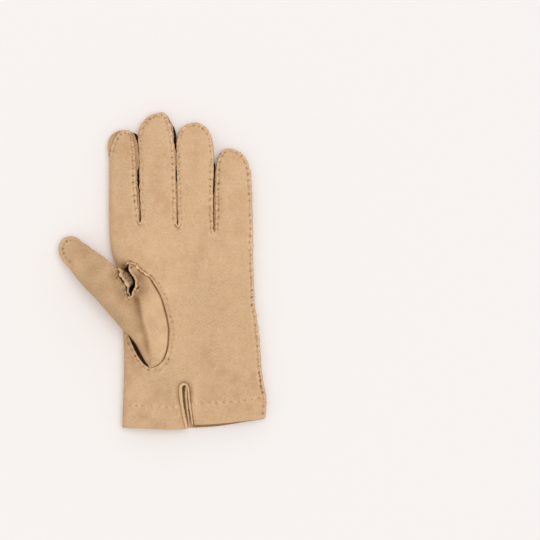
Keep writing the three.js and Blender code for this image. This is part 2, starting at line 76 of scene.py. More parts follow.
# the palm's edge round the fingers
PALM_FINGERS = [
    (-41.3, 88.0, 6.0, 10, 0.3),
    (-40.5, 92.0, 5.9, 10, 0.8),
    (-39.1, 97.0, 5.9, 10, 1),
    (-37.7, 101.0, 5.9, 10, 1),
    (-35.9, 104.2, 5.8, 11, 1),
    (-33.8, 106.4, 5.6, 12, 1),
    (-32.0, 107.6, 5.4, 13, 1),
    (-29.6, 108.2, 5.2, 13, 1),
    (-27.0, 107.9, 5.4, 12, 1),
    (-24.7, 106.6, 6.2, 11, 1),
    (-23.2, 103.2, 7.4, 10, 1),
    (-22.4, 97.0, 8.8, 9, 1),
    (-21.7, 90.0, 9.8, 8, 1),
    (-21.2, 80.0, 10.3, 8, 1),
    (-21.0, 68.0, 10.4, 8, 1),
    (-20.3, 58.0, 10.5, 8, 1),
    (-19.2, 48.0, 10.7, 8, 1),
    (-18.6, 41.0, 11.0, 7, 1),
    (-18.4, 38.4, 11.2, 7, 1),
    (-17.6, 37.2, 11.3, 7, 1),
    (-16.8, 38.4, 11.2, 7, 1),
    (-16.7, 41.5, 11.0, 7, 1),
    (-17.2, 52.0, 10.7, 8, 1),
    (-17.8, 64.0, 10.5, 8, 1),
    (-17.9, 80.0, 10.4, 8, 1),
    (-18.2, 93.0, 10.0, 9, 1),
    (-18.8, 101.0, 9.0, 10, 1),
    (-18.5, 106.2, 8.0, 11, 1),
    (-17.1, 111.0, 6.8, 12, 1),
    (-14.7, 115.2, 5.9, 13, 1),
    (-11.7, 118.4, 5.5, 14, 1),
    (-7.6, 120.4, 5.3, 14, 1),
    (-4.0, 121.2, 5.2, 14, 1),
    (-1.4, 122.0, 5.2, 14, 1),
    (0.8, 121.6, 5.3, 14, 1),
    (2.8, 119.4, 5.6, 13, 1),
    (4.4, 115.8, 6.2, 12, 1),
    (5.8, 111.0, 7.2, 11, 1),
    (6.9, 105.6, 8.4, 10, 1),
    (7.9, 99.0, 9.6, 9, 1),
    (8.9, 90.0, 10.2, 8, 1),
    (9.4, 72.0, 10.4, 8, 1),
    (9.9, 55.0, 10.7, 8, 1),
    (10.4, 39.0, 11.0, 7, 1),
    (10.7, 36.0, 11.2, 7, 1),
    (11.3, 35.2, 11.3, 7, 1),
    (11.8, 36.0, 11.2, 7, 1),
    (11.9, 39.0, 11.0, 7, 1),
    (11.4, 55.0, 10.8, 8, 1),
    (11.0, 72.0, 10.5, 8, 1),
    (10.7, 88.0, 10.2, 8, 1),
    (10.8, 98.0, 9.4, 9, 1),
    (11.9, 104.8, 8.2, 11, 1),
    (14.1, 109.2, 6.7, 12, 1),
    (17.2, 111.9, 5.7, 13, 1),
    (21.3, 113.5, 5.3, 14, 1),
    (25.1, 114.0, 5.2, 14, 1),
    (28.9, 113.2, 5.3, 14, 1),
    (32.5, 110.7, 5.6, 13, 1),
    (35.7, 106.2, 6.5, 12, 1),
    (37.8, 99.7, 8.0, 11, 1),
    (38.7, 91.5, 9.4, 9, 1),
    (38.8, 80.0, 10.2, 8, 1),
    (38.3, 66.0, 10.4, 8, 1),
    (38.3, 50.0, 10.6, 8, 1),
    (38.6, 34.0, 10.9, 7, 1),
    (38.8, 30.8, 11.1, 7, 1),
    (39.4, 29.9, 11.2, 7, 1),
    (40.0, 30.8, 10.8, 7, 1),
    (40.2, 34.0, 10.4, 8, 1),
    (40.4, 50.0, 10.0, 9, 1),
    (40.6, 66.0, 9.8, 9, 1),
    (40.9, 77.0, 9.2, 10, 1),
    (42.0, 84.8, 7.8, 11, 1),
    (44.2, 90.2, 6.4, 12, 1),
    (47.4, 93.2, 5.6, 13, 1),
    (51.2, 94.2, 5.3, 14, 1),
    (55.0, 93.3, 5.2, 14, 1),
    (59.6, 91.0, 5.3, 14, 1),
    (62.9, 87.4, 5.5, 14, 1),
    (65.6, 82.4, 5.8, 14, 1),
    (67.3, 75.6, 6.1, 14, 1),
    (68.1, 64.0, 6.3, 14, 1),
    (68.7, 48.0, 6.4, 15, 1),
    (69.0, 34.0, 6.4, 20, 1),
    (69.1, 20.0, 6.4, 28, 1),
    (69.2, 5.0, 6.4, 32, 1),
    (69.9, -10.8, 6.4, 34, 1),
    (70.5, -26.0, 6.4, 34, 1),
    (71.9, -35.0, 6.3, 34, 1),
    (73.2, -45.4, 6.2, 34, 1),
    (74.7, -60.8, 6.1, 32, 1),
    (76.2, -80.1, 5.9, 30, 1),
    (78.0, -91.0, 5.8, 28, 1),
    (79.1, -96.3, 5.7, 26, 1),
    (79.2, -104.0, 5.6, 24, 1),
    (78.8, -112.2, 5.5, 24, 1),
]
# where the back's edge lies otherwise than the palm's: from this row of the
# palm's table to that one, these rows in their place
BACK_FINGERS = [
    (
        (0, 6),
        [
            (-42.0, 90.0, 5.8, 10, 0.5),
            (-42.3, 96.0, 5.8, 10, 1),
            (-41.5, 100.8, 5.6, 10, 1),
            (-39.5, 104.4, 5.4, 11, 1),
            (-36.7, 106.7, 5.3, 12, 1),
            (-33.4, 107.9, 5.3, 13, 1),
        ],
    ),
    (
        (9, 24),
        [
            (-24.7, 106.7, 6.2, 11, 1),
            (-22.3, 106.2, 7.4, 10, 1),
            (-20.3, 105.2, 8.0, 10, 1),
            (-19.3, 102.4, 8.6, 10, 1),
            (-18.8, 97.0, 8.8, 9, 1),
            (-18.65, 90.0, 9.8, 8, 1),
            (-18.6, 80.0, 10.3, 8, 1),
            (-18.5, 68.0, 10.4, 8, 1),
            (-18.2, 58.0, 10.5, 8, 1),
            (-17.8, 48.0, 10.7, 8, 1),
            (-17.65, 41.5, 11.0, 7, 1),
            (-17.6, 38.6, 11.3, 7, 1),
            (-17.45, 38.6, 11.3, 7, 1),
            (-17.4, 41.5, 11.0, 7, 1),
            (-17.7, 52.0, 10.7, 8, 1),
            (-18.2, 64.0, 10.5, 8, 1),
            (-18.3, 80.0, 10.4, 8, 1),
        ],
    ),
    (
        (36, 51),
        [
            (5.6, 115.4, 6.2, 12, 1),
            (7.8, 111.8, 7.2, 11, 1),
            (9.4, 108.2, 8.0, 11, 1),
            (10.2, 104.6, 8.4, 10, 1),
            (10.2, 99.0, 9.6, 9, 1),
            (10.15, 90.0, 10.2, 8, 1),
            (10.25, 72.0, 10.4, 8, 1),
            (10.65, 55.0, 10.7, 8, 1),
            (11.05, 39.0, 11.0, 7, 1),
            (11.17, 36.2, 11.3, 7, 1),
            (11.33, 36.2, 11.3, 7, 1),
            (11.25, 39.0, 11.0, 7, 1),
            (10.85, 55.0, 10.8, 8, 1),
            (10.45, 72.0, 10.5, 8, 1),
            (10.38, 88.0, 10.2, 8, 1),
            (10.6, 98.0, 9.4, 9, 1),
        ],
    ),
    (
        (61, 73),
        [
            (39.1, 90.0, 9.4, 9, 1),
            (39.3, 84.6, 9.8, 9, 1),
            (40.0, 82.4, 9.8, 9, 1),
            (40.2, 78.0, 9.8, 9, 1),
            (39.65, 66.0, 10.4, 8, 1),
            (39.3, 50.0, 10.6, 8, 1),
            (39.3, 34.0, 10.9, 7, 1),
            (39.3, 31.0, 11.2, 7, 1),
            (39.48, 31.0, 11.2, 7, 1),
            (39.5, 34.0, 10.4, 8, 1),
            (39.52, 50.0, 10.0, 9, 1),
            (39.9, 66.0, 9.8, 9, 1),
            (40.5, 78.0, 9.2, 10, 1),
        ],
    ),
]
# the palm's edge at the cuff, from the right, with the vent cut into it
PALM_CUFF = [(73.2, -113.8), (62.0, -115.2), (50.0, -116.5), (40.0, -117.4), (33.0, -117.8), (24.4, -118.0)]
VENT_CUT = [
    (23.2, -112.0),
    (22.3, -104.0),
    (21.7, -97.0),
    (20.9, -90.0),
    (19.2, -86.5),
    (15.7, -85.3),
    (12.7, -87.0),
    (11.9, -91.0),
    (12.1, -97.0),
    (13.1, -104.0),
    (14.6, -112.0),
]
PALM_CUFF_LEFT = [(17.0, -121.6), (5.0, -121.7), (-12.0, -121.1)]
BACK_CUFF = [
    (73.2, -114.1),
    (63.7, -115.6),
    (51.6, -117.7),
    (40.0, -119.3),
    (30.0, -119.9),
    (23.5, -120.2),
    (17.2, -120.4),
    (5.0, -120.8),
    (-12.0, -120.4),
]
# the line of stitches along the hem, and the height of the palm up the glove
HEM_LINE = [(-34.0, -103.2), (-25.0, -103.6), (-8.0, -104.0), (11.0, -105.0), (24.0, -102.8), (29.0, -101.7), (49.4, -101.0), (64.4, -99.6), (71.5, -98.3), (76.2, -96.9), (82.0, -94.8)]
CROWN = [(-122, 10.6), (-104, 11.3), (-84, 12.4), (-53, 13.7), (-8, 14.0), (16, 13.7), (36, 13.3), (60, 12.9), (122, 12.4)]
# the palm's diagonal crease
CREASE = [(28.6, 30.0), (24.0, 14.0), (18.6, -8.0), (13.4, -28.0)]

# grooves and folds: points, width, height, tone; the tone is painted shade in the sunken ones and painted light on the
# raised one
MARKS = [
    ([(-12.8, 116.2), (-8.5, 117.6), (-4.2, 119.0), (-1.2, 117.8)], 0.6, -0.3, -0.5),
    ([(43.4, 82.0), (43.2, 60.0), (43.6, 34.0)], 1.2, -0.4, -0.3),
    ([(74.0, -75.0), (74.8, -82.0), (75.4, -88.0), (75.3, -96.5)], 0.45, -0.3, -0.55),
    ([(72.6, -75.0), (73.3, -82.0), (73.9, -88.0), (73.9, -96.5)], 0.8, 0.2, 0.3),
    ([(10.4, -84.0), (10.2, -92.0), (10.6, -101.0)], 0.5, -0.12, -0.3),
    ([(15.6, -83.4), (21.4, -86.4), (22.4, -93.0), (22.9, -101.0)], 0.5, -0.1, -0.25),
    ([(-28.4, -40.0), (-24.6, -60.0), (-19.0, -74.0), (-10.0, -80.0)], 3.6, -0.3, -0.2),
]

# where the suede is painted darker or lighter, as painted shade and painted light, and where its nap lies darker or
# lighter: x, y, how wide, how long, tone
PALM_SHADE_AND_NAP = [
    (3, -12, 10, 9, 0.48),
    (14, 5, 7, 8, 0.2),
    (-10, 13, 8, 11, 0.18),
    (-15, 38, 6, 6, -0.1),
    (-38.5, 50, 3.5, 28, 0.2),
    (-30, 72, 6, 20, -0.04),
    (-24, -97, 6, 22, 0.26),
    (1, -93, 8, 11, -0.15),
    (25.5, -96, 3, 12, 0.4),
    (62, 42, 4, 14, 0.2),
    (71, -101, 4, 7, 0.22),
    (-4, 106, 6, 4, -0.13),
    (-6, 74, 5, 12, -0.08),
    (25, 80, 3.5, 18, -0.09),
    (31, 90, 3, 6, -0.07),
    (55, 58, 5, 10, -0.07),
    (50, 16, 10, 9, -0.06),
]
# painted shade on the thumb: beside the V, by the lobe's foot and over the tube's middle
THUMB_SHADE = [
    (-16.5, -19, 5, 17, -0.46),
    (-7, -63, 4, 6, -0.28),
    (-62, 8, 5, 7, -0.08),
]

# the hole that the thumb is set into: x, y, z of its rim, reach, lip
HOLE = [
    (-27.7, 4.7, 11.0, 3, 0.5),
    (-27.1, 5.7, 13.6, 4, 1),
    (-25.6, 5.6, 14.4, 5, 1),
    (-23.4, 4.9, 14.7, 5, 1),
    (-21.0, 3.8, 14.7, 5, 1),
    (-19.4, 1.7, 14.6, 5, 1),
    (-17.4, -0.4, 14.5, 5, 1),
    (-14.7, -2.2, 14.4, 5, 1),
    (-12.3, -3.6, 14.3, 5, 1),
    (-10.2, -5.4, 14.1, 5, 0.8),
    (-8.5, -7.8, 13.9, 5, 0.5),
    (-6.5, -11.0, 13.7, 5, 0.4),
    (-4.8, -14.0, 13.5, 5, 0.3),
    (-2.6, -18.0, 13.4, 5, 0.2),
    (-0.9, -22.0, 13.2, 5, 0.2),
    (0.9, -28.0, 13.1, 5, 0.2),
    (2.5, -34.1, 13.0, 5, 0.2),
    (3.7, -40.0, 13.0, 5, 0.2),
    (4.4, -45.0, 12.9, 5, 0.2),
    (4.2, -50.6, 12.9, 5, 0.2),
    (3.9, -55.7, 12.9, 5, 0.2),
    (3.2, -60.4, 12.8, 5, 0.2),
    (1.9, -64.6, 12.7, 5, 0.2),
    (0.1, -68.3, 12.6, 5, 0.2),
    (-2.0, -71.4, 12.6, 5, 0.3),
    (-4.6, -73.4, 12.5, 5, 0.4),
    (-7.8, -74.6, 12.4, 5, 0.8),
    (-11.0, -74.4, 12.3, 5, 1),
    (-14.1, -72.3, 12.2, 5, 1),
    (-17.3, -68.7, 12.1, 5, 1),
    (-19.8, -65.0, 12.0, 5, 1),
    (-22.0, -61.0, 11.9, 5, 1),
    (-23.7, -56.8, 11.7, 5, 1),
    (-25.9, -51.6, 11.2, 4, 1),
    (-27.6, -44.0, 10.6, 3, 0.6),
    (-28.6, -32.0, 10.0, 3, 0),
    (-29.6, -18.0, 9.2, 3, 0),
    (-31.2, -8.0, 8.0, 3, 0),
    (-32.8, -2.4, 7.4, 4, 0),
    (-32.8, 0.2, 7.9, 6, 0),
    (-31.8, 1.7, 8.4, 7, 0),
    (-30.2, 2.2, 8.7, 7, 0),
    (-28.8, 2.6, 9.0, 6, 0),
    (-28.0, 3.6, 9.8, 5, 0.2),
]
# the thumb's edges: x, y, z, reach, lip
THUMB_FOLD = [
    (-11.4, -72.2, 13.0, 9, 0),
    (-13.4, -69.0, 13.9, 10, 0),
    (-15.7, -64.6, 14.8, 11, 0),
    (-18.0, -59.8, 15.4, 12, 0),
    (-21.0, -55.1, 15.8, 12, 0),
    (-25.0, -50.7, 16.0, 12, 0),
    (-30.3, -46.0, 16.2, 12, 0),
    (-39.9, -34.9, 17.6, 13, 0),
    (-49.3, -24.2, 18.0, 13, 0),
    (-58.3, -14.8, 16.4, 13, 0),
    (-67.2, -4.6, 12.8, 12, 0),
]
THUMB_TIP = [
    (-73.2, 3.8, 9.8, 12, 0.4),
    (-76.9, 8.2, 8.4, 12, 0.9),
    (-79.0, 11.8, 7.6, 12, 1),
    (-80.0, 16.0, 7.2, 12, 1),
    (-79.6, 20.2, 7.0, 12, 1),
    (-77.6, 23.8, 7.0, 12, 1),
    (-74.6, 25.9, 7.2, 12, 1),
    (-70.9, 26.6, 7.6, 12, 1),
    (-67.2, 25.9, 8.3, 12, 1),
    (-64.6, 24.2, 9.1, 12, 1),
    (-62.6, 22.3, 9.9, 12, 1),
    (-58.3, 19.6, 11.2, 12, 1),
    (-54.0, 16.2, 12.8, 12, 1),
    (-49.2, 13.2, 14.4, 12, 1),
    (-44.6, 9.7, 16.0, 12, 1),
    (-40.5, 6.2, 17.8, 11, 1),
    (-37.2, 3.9, 19.2, 10, 1),
]
THUMB_LEFT_LIP = [
    (-35.1, 1.9, 20.0, 8, 1),
    (-34.4, -0.2, 20.8, 7, 1),
    (-34.3, -2.9, 21.5, 7, 1),
    (-33.1, -5.4, 22.1, 7, 1),
    (-31.9, -7.4, 22.5, 7, 1),
    (-30.5, -9.1, 22.9, 7, 1),
    (-29.3, -10.6, 23.2, 7, 1),
    (-28.4, -13.3, 23.5, 7, 1),
    (-28.2, -15.8, 23.7, 7, 1),
    (-27.4, -18.1, 23.9, 7, 1),
    (-25.8, -20.1, 24.0, 6, 1),
]
THUMB_RIGHT_LIP = [
    (-24.3, -20.2, 23.9, 6, 1),
    (-23.6, -18.4, 23.6, 6, 1),
    (-23.4, -16.7, 23.2, 6, 1),
    (-22.9, -15.0, 22.8, 6, 1),
    (-21.6, -13.3, 22.3, 6, 1),
    (-20.9, -11.2, 21.7, 6, 1),
    (-21.0, -9.1, 21.1, 6, 1),
    (-20.8, -7.1, 20.5, 6, 1),
    (-21.7, -5.6, 19.9, 6, 1),
    (-23.3, -3.6, 18.9, 5, 1),
    (-24.8, -1.2, 17.8, 5, 1),
    (-26.0, 0.9, 16.6, 4, 1),
    (-26.5, 3.2, 15.0, 4, 1),
    (-26.6, 4.6, 13.6, 3, 0.6),
]
# its rim, under the edge of the hole
THUMB_RIM = [
    (-26.0, 6.3, 12.6, 3, 0),
    (-23.8, 6.2, 12.4, 3, 0),
    (-21.2, 5.3, 12.3, 3, 0),
    (-18.8, 3.0, 12.2, 3, 0),
    (-16.8, 0.8, 12.1, 3, 0),
    (-14.0, -1.0, 12.0, 3, 0),
    (-11.4, -2.6, 12.0, 3, 0),
    (-9.1, -4.6, 11.9, 3, 0),
    (-7.3, -7.2, 11.8, 3, 0),
    (-5.2, -10.6, 11.7, 3, 0),
    (-1.3, -17.6, 11.6, 3, 0),
    (2.2, -27.8, 11.5, 3, 0),
    (5.1, -39.8, 11.4, 3, 0),
    (5.8, -45.0, 11.4, 3, 0),
    (5.3, -55.9, 11.4, 3, 0),
    (3.2, -65.2, 11.2, 3, 0),
    (1.3, -69.2, 11.1, 3, 0),
    (-1.2, -72.6, 11.1, 3, 0),
    (-4.2, -74.8, 11.0, 3, 0),
    (-7.8, -76.0, 10.9, 3, 0),
    (-9.8, -75.4, 11.0, 3, 0),
]
# heights of its upper face: the tube's crown, the crease's two sides and the lobe
THUMB_CROWN = [
    (-74.0, 17.4, 13.6),
    (-69.0, 13.6, 15.7),
    (-62.0, 7.6, 18.2),
    (-54.0, 0.0, 21.3),
    (-46.0, -8.6, 24.2),
    (-38.6, -17.0, 25.1),
    (-32.0, -24.0, 25.0),
    (-27.0, -31.0, 24.3),
    (-23.6, -40.0, 22.4),
    (-20.4, -48.4, 20.4),
    (-17.2, -56.0, 18.4),
    (-14.4, -63.0, 16.4),
    (-22.0, -24.6, 22.8),
    (-18.4, -24.6, 20.2),
    (-17.0, -33.0, 18.8),
    (-15.0, -42.0, 17.4),
    (-12.6, -51.0, 16.2),
    (-10.8, -60.0, 15.0),
    (-17.0, -13.0, 19.4),
    (-13.4, -14.0, 18.8),
    (-12.0, -21.0, 19.2),
    (-9.4, -30.0, 18.7),
    (-7.0, -40.0, 17.8),
    (-5.6, -50.0, 16.8),
    (-5.6, -60.0, 15.6),
    (-7.2, -68.0, 14.2),
    (-1.0, -40.0, 17.0),
    (-0.4, -50.0, 16.2),
    (-3.2, -28.0, 17.6),
    (-6.6, -18.0, 17.8),
    (-11.0, -9.0, 17.4),
    (-15.4, -4.6, 17.4),
    (-1.6, -60.0, 15.2),
    (-4.0, -67.0, 14.0),
    (-18.4, -6.0, 18.2),
    (-20.6, -1.0, 16.6),
]
# the crease beside its ball
THUMB_CREASE = [(-21.0, -17.5), (-19.4, -22.0), (-17.9, -29.0), (-15.6, -41.0), (-13.0, -51.0), (-10.9, -61.0), (-9.8, -68.0)]
# behind the tube its lower sheet is sewn to the hole: x, y, z from the bottom up
THUMB_BACK = [
    (-12.2, -73.4, 11.0, 0, 0),
    (-14.9, -71.9, 10.9, 0, 0),
    (-18.1, -68.3, 10.8, 0, 0),
    (-20.6, -64.6, 10.7, 0, 0),
    (-22.8, -60.6, 10.6, 0, 0),
    (-24.5, -56.4, 10.4, 0, 0),
    (-26.6, -51.4, 10.2, 0, 0),
    (-27.4, -44.0, 12.2, 0, 0),
    (-28.2, -32.0, 11.8, 0, 0),
    (-29.4, -18.0, 11.4, 0, 0),
    (-31.6, -8.0, 11.8, 0, 0),
    (-34.4, -1.6, 14.6, 0, 0),
]
# how deep the lower sheet hangs below the line between its edges, by y of the fold
SAG = [(-73, 0.3), (-69, 3.2), (-64, 5.0), (-58, 5.4), (-54, 4.6), (-50.6, 2.0), (-46, 0.8), (-35, 1.0), (-29, 1.6), (-24.2, 3.4), (-14.8, 5.4), (-4.6, 5.6), (3.8, 4.0), (8.2, 3.2), (11.8, 2.2), (16.5, 0.4)]

# the quirk, down in the crotch of the thumb: its edges x, y, z
QUIRK_LEFT = [
    (-34.5, 1.9, 20.0),
    (-33.8, -0.3, 20.8),
    (-33.6, -2.9, 21.6),
    (-32.5, -5.2, 22.3),
    (-31.2, -7.2, 22.8),
    (-29.8, -8.9, 23.3),
    (-28.5, -10.4, 23.6),
    (-27.6, -13.2, 23.9),
    (-27.4, -15.7, 24.1),
    (-26.6, -17.8, 24.3),
    (-25.2, -19.4, 24.2),
]
QUIRK_RIGHT = [
    (-23.6, -19.8, 22.4),
    (-22.8, -18.2, 22.2),
    (-22.5, -16.5, 21.9),
    (-22.0, -14.6, 21.5),
    (-20.7, -12.8, 21.0),
    (-20.1, -11.0, 20.4),
    (-20.2, -9.0, 19.8),
    (-20.0, -6.8, 19.2),
    (-20.9, -5.1, 18.5),
    (-22.5, -3.0, 17.5),
    (-24.0, -0.7, 16.4),
    (-25.2, 1.4, 15.0),
    (-25.7, 3.4, 13.4),
]
QUIRK_TOP = [(-26.2, 4.4, 10.0), (-28.0, 4.0, 7.0), (-29.8, 3.6, 6.6), (-31.6, 3.2, 7.0), (-33.2, 2.9, 12.6)]
TONGUE = [(-34.5, 2.6), (-32.4, 1.9), (-30.8, 0.9), (-29.4, -0.1), (-28.0, -0.7), (-26.4, -1.5), (-25.0, -3.2), (-23.6, -5.7), (-22.6, -8.0), (-22.9, -10.0), (-24.6, -11.5), (-25.9, -13.2), (-26.1, -15.4), (-25.6, -17.4), (-24.9, -19.0)]

# the binding's middle lines: x, y, z, half width
BINDING = [
    (18.2, -121.3, 10.2, 1.05),
    (17.3, -117.0, 10.3, 1.1),
    (16.1, -111.5, 10.5, 1.15),
    (15.0, -105.5, 10.7, 1.15),
    (14.2, -100.0, 10.8, 1.2),
    (13.6, -94.0, 10.9, 1.3),
    (13.5, -90.6, 11.0, 1.25),
    (14.1, -88.2, 11.0, 1.15),
    (15.9, -87.0, 11.0, 1.0),
    (17.9, -87.5, 10.9, 0.95),
    (19.2, -89.6, 10.9, 0.9),
    (19.7, -93.5, 10.8, 0.9),
    (20.2, -99.0, 10.7, 0.85),
    (21.0, -105.8, 10.5, 0.8),
    (21.8, -111.0, 10.2, 0.7),
    (22.3, -115.0, 10.0, 0.65),
    (22.6, -117.9, 9.8, 0.6),
]
BINDING_FOLD = [
    (18.4, -87.6, 10.6, 0.5),
    (17.9, -90.6, 10.3, 0.85),
    (17.7, -95.5, 10.1, 0.9),
    (18.2, -101.3, 10.0, 0.85),
    (18.8, -107.2, 9.8, 0.75),
    (19.4, -112.0, 9.5, 0.65),
    (20.0, -116.3, 9.2, 0.6),
    (20.4, -119.2, 9.0, 0.55),
]

# fourchettes: node, first and last row of the palm's table that it is sewn to,
# and how far its raw edge shows beyond the palm's there: (x, y, overhang)
FOURCHETTES = [
    (
        "fourchette_index_middle",
        (-27.0, 107.7),
        (-13.2, 117.0),
        [(-27.0, 107.7, 0.2), (-24.7, 106.6, 0.6), (-23.2, 103.2, 1.6), (-22.4, 97.0, 2.8), (-21.7, 90.0, 2.9), (-21.2, 81.0, 2.5), (-21.1, 77.0, 1.0), (-21.0, 66.0, 1.0), (-20.6, 62.0, 1.7), (-20.3, 58.0, 1.7), (-19.2, 48.0, 1.0), (-18.1, 38.4, 0.1), (-16.7, 41.5, 0.1), (-17.8, 64.0, 0.1), (-17.9, 80.0, 0.1), (-18.2, 93.0, 0.2), (-18.5, 106.2, 0.2), (-14.7, 115.2, 0.1)],
    ),
    (
        "fourchette_middle_ring",
        (2.8, 119.4),
        (18.4, 112.4),
        [(2.8, 119.4, 0.5), (4.4, 115.8, 0.9), (5.8, 111.0, 1.25), (6.9, 105.6, 1.0), (7.9, 99.0, 0.2), (8.5, 94.0, 0.5), (8.9, 90.0, 1.2), (9.2, 82.0, 1.0), (9.4, 77.0, 0.3), (9.4, 70.0, 0.3), (9.5, 66.0, 0.9), (9.9, 55.0, 1.1), (10.4, 43.0, 0.7), (10.6, 38.0, 0.2), (11.9, 39.0, 0.1), (11.0, 72.0, 0.1), (10.8, 98.0, 0.1), (14.1, 109.2, 0.1)],
    ),
    (
        "fourchette_ring_little",
        (31.0, 112.0),
        (48.6, 93.7),
        [(32.5, 110.7, 0.1), (37.8, 99.7, 0.1), (38.8, 80.0, 0.1), (38.3, 50.0, 0.1), (38.8, 30.8, 0.1), (40.2, 34.0, 0.75), (40.4, 50.0, 0.95), (40.6, 66.0, 0.6), (42.0, 84.8, 0.2), (47.4, 93.2, 0.1)],
    ),
]


# ----------------------------------------------------------------- small tools
def smooth(t):
    t = np.clip(t, 0, 1)
    return t * t * (3 - 2 * t)


def bell(t):
    return np.exp(-t * t)


def waves(p, length, seed, n=26):
    """Soft random hills of about this length, around 0 with spread 1."""
    p = np.asarray(p, float)
    if p.ndim == 1:
        p = np.c_[p, np.zeros_like(p)]
    r = np.random.default_rng(seed)
    k = r.normal(size=(n, p.shape[1]))
    k *= (2 * np.pi / length) * r.uniform(0.65, 1.4, (n, 1)) / np.linalg.norm(k, axis=1)[:, None]
    return np.cos(p @ k.T + r.uniform(0, 2 * np.pi, n)).sum(1) * math.sqrt(2 / n)


def through(rows, step=STEP, closed=False):
    """Even steps along a smooth line through rows; columns after x, y ride along."""
    R = np.array(rows, float)
    P = np.vstack([R[-1], R, R[0], R[1]]) if closed else np.vstack([2 * R[0] - R[1], R, 2 * R[-1] - R[-2]])
    out = []
    for i in range(1, len(P) - 2):
        p = P[i - 1 : i + 3]
        t = np.r_[0, np.cumsum(np.sqrt(np.linalg.norm(np.diff(p[:, :2], axis=0), axis=1)) + 1e-6)]
        u = np.linspace(t[1], t[2], 20, endpoint=False)[:, None]
        a = [(p[j] * (t[j + 1] - u) + p[j + 1] * (u - t[j])) / (t[j + 1] - t[j]) for j in range(3)]
        b = [(a[j] * (t[j + 2] - u) + a[j + 1] * (u - t[j])) / (t[j + 2] - t[j]) for j in range(2)]
        q = (b[0] * (t[2] - u) + b[1] * (u - t[1])) / (t[2] - t[1])
        w = (u - t[1]) / (t[2] - t[1])
        q[:, 3:] = (p[1] * (1 - w) + p[2] * w)[:, 3:]
        out.append(q)
    line = np.vstack(out + [P[-2:-1]])
    return resample(line, max(3, int(round(path(line)[-1] / step))) + 1)[: -1 if closed else None]


def path(line):
    return np.r_[0, np.cumsum(np.linalg.norm(np.diff(line[:, :2], axis=0), axis=1))]


def resample(line, n):
    s = path(line)
    at = np.linspace(0, s[-1], n)
    return np.stack([np.interp(at, s, line[:, k]) for k in range(line.shape[1])], 1)


def inside(q, poly):
    """Which points lie inside a closed line."""
    out = np.zeros(len(q), bool)
    a, b = poly, np.roll(poly, -1, 0)
    dy = np.where(b[:, 1] == a[:, 1], 1e-12, b[:, 1] - a[:, 1])
    k = ((b[:, 0] - a[:, 0]) / dy)[None, :]
    for i in range(0, len(q), 4000):
        x, y = q[i : i + 4000, 0:1], q[i : i + 4000, 1:2]
        hit = (a[None, :, 1] > y) != (b[None, :, 1] > y)
        cx = a[None, :, 0] + (y - a[None, :, 1]) * k
        out[i : i + 4000] = (np.sum(hit & (x < cx), axis=1) % 2) == 1
    return out


def tree_of(p):
    t = kdtree.KDTree(len(p))
    for i, v in enumerate(p):
        t.insert((v[0], v[1], 0), i)
    t.balance()
    return t


class Edge:
    """A line of the pattern, to measure from: distance, place along it, its columns."""

    def __init__(self, line, closed=False):
        self.line = np.asarray(line, float)
        self.closed = closed
        p = self.line[:, :2]
        nxt = np.roll(p, -1, 0) if closed else np.vstack([p[1:], 2 * p[-1] - p[-2]])
        seg = np.linalg.norm(nxt - p, axis=1)
        self.s = np.r_[0, np.cumsum(seg)[:-1]]
        self.length = seg.sum() if closed else self.s[-1]
        self.tree = tree_of(p)

    def foot(self, q):
        n, L = len(self.line), self.line
        i = np.array([self.tree.find((x, y, 0))[1] for x, y in q[:, :2]])
        best = None
        for shift in (-1, 0):
            a = i + shift
            if self.closed:
                a, b = a % n, (a + 1) % n
            else:
                a = np.clip(a, 0, n - 2)
                b = a + 1
            pa, pb = L[a], L[b]
            v = pb[:, :2] - pa[:, :2]
            t = np.clip(((q[:, :2] - pa[:, :2]) * v).sum(1) / np.maximum((v * v).sum(1), 1e-9), 0, 1)
            row = pa + (pb - pa) * t[:, None]
            d = np.linalg.norm(q[:, :2] - row[:, :2], axis=1)
            s = self.s[a] + t * np.linalg.norm(v, axis=1)
            if best is None:
                best = [d, s, row]
            else:
                w = d < best[0]
                best = [np.where(w, d, best[0]), np.where(w, s, best[1]), np.where(w[:, None], row, best[2])]
        return best

    def at(self, s):
        """The point at s along the line, the way it runs there, and its columns."""
        L = np.vstack([self.line, self.line[:1]]) if self.closed else self.line
        t = np.r_[self.s, self.length] if self.closed else self.s
        row = np.array([np.interp(s, t, L[:, k]) for k in range(L.shape[1])])
        d = np.array([np.interp(s + e, t, L[:, k]) for e in (-0.7, 0.7) for k in (0, 1)])
        v = d[2:] - d[:2]
        return row, v / max(np.linalg.norm(v), 1e-9)


class Drape:
    """A smooth surface through scattered heights (x, y, z)."""

    def __init__(self, rows, ease=0.02):
        r = np.array(rows, float)[:, :3]
        self.p, n = r[:, :2], len(r)
        K = self.bend(np.linalg.norm(self.p[:, None] - self.p[None], axis=2)) + np.eye(n) * ease
        Q = np.c_[np.ones(n), self.p]
        A = np.block([[K, Q], [Q.T, np.zeros((3, 3))]])
        self.w = np.linalg.solve(A, np.r_[r[:, 2], 0, 0, 0])

    @staticmethod
    def bend(d):
        d = d / 10
        return np.where(d > 1e-9, d * d * np.log(np.maximum(d, 1e-9)), 0)

    def __call__(self, q):
        out = np.empty(len(q))
        for i in range(0, len(q), 4000):
            c = q[i : i + 4000, :2]
            k = self.bend(np.linalg.norm(c[:, None] - self.p[None], axis=2))
            out[i : i + 4000] = k @ self.w[:-3] + np.c_[np.ones(len(c)), c] @ self.w[-3:]
        return out


def normals_of(loop):
    """Unit vectors into the region inside a closed line."""
    p = loop[:, :2]
    t = np.roll(p, -1, 0) - np.roll(p, 1, 0)
    t /= np.maximum(np.linalg.norm(t, axis=1), 1e-9)[:, None]
    area = 0.5 * np.sum(p[:, 0] * np.roll(p[:, 1], -1) - np.roll(p[:, 0], -1) * p[:, 1])
    n = np.c_[-t[:, 1], t[:, 0]]
    return n if area > 0 else -n


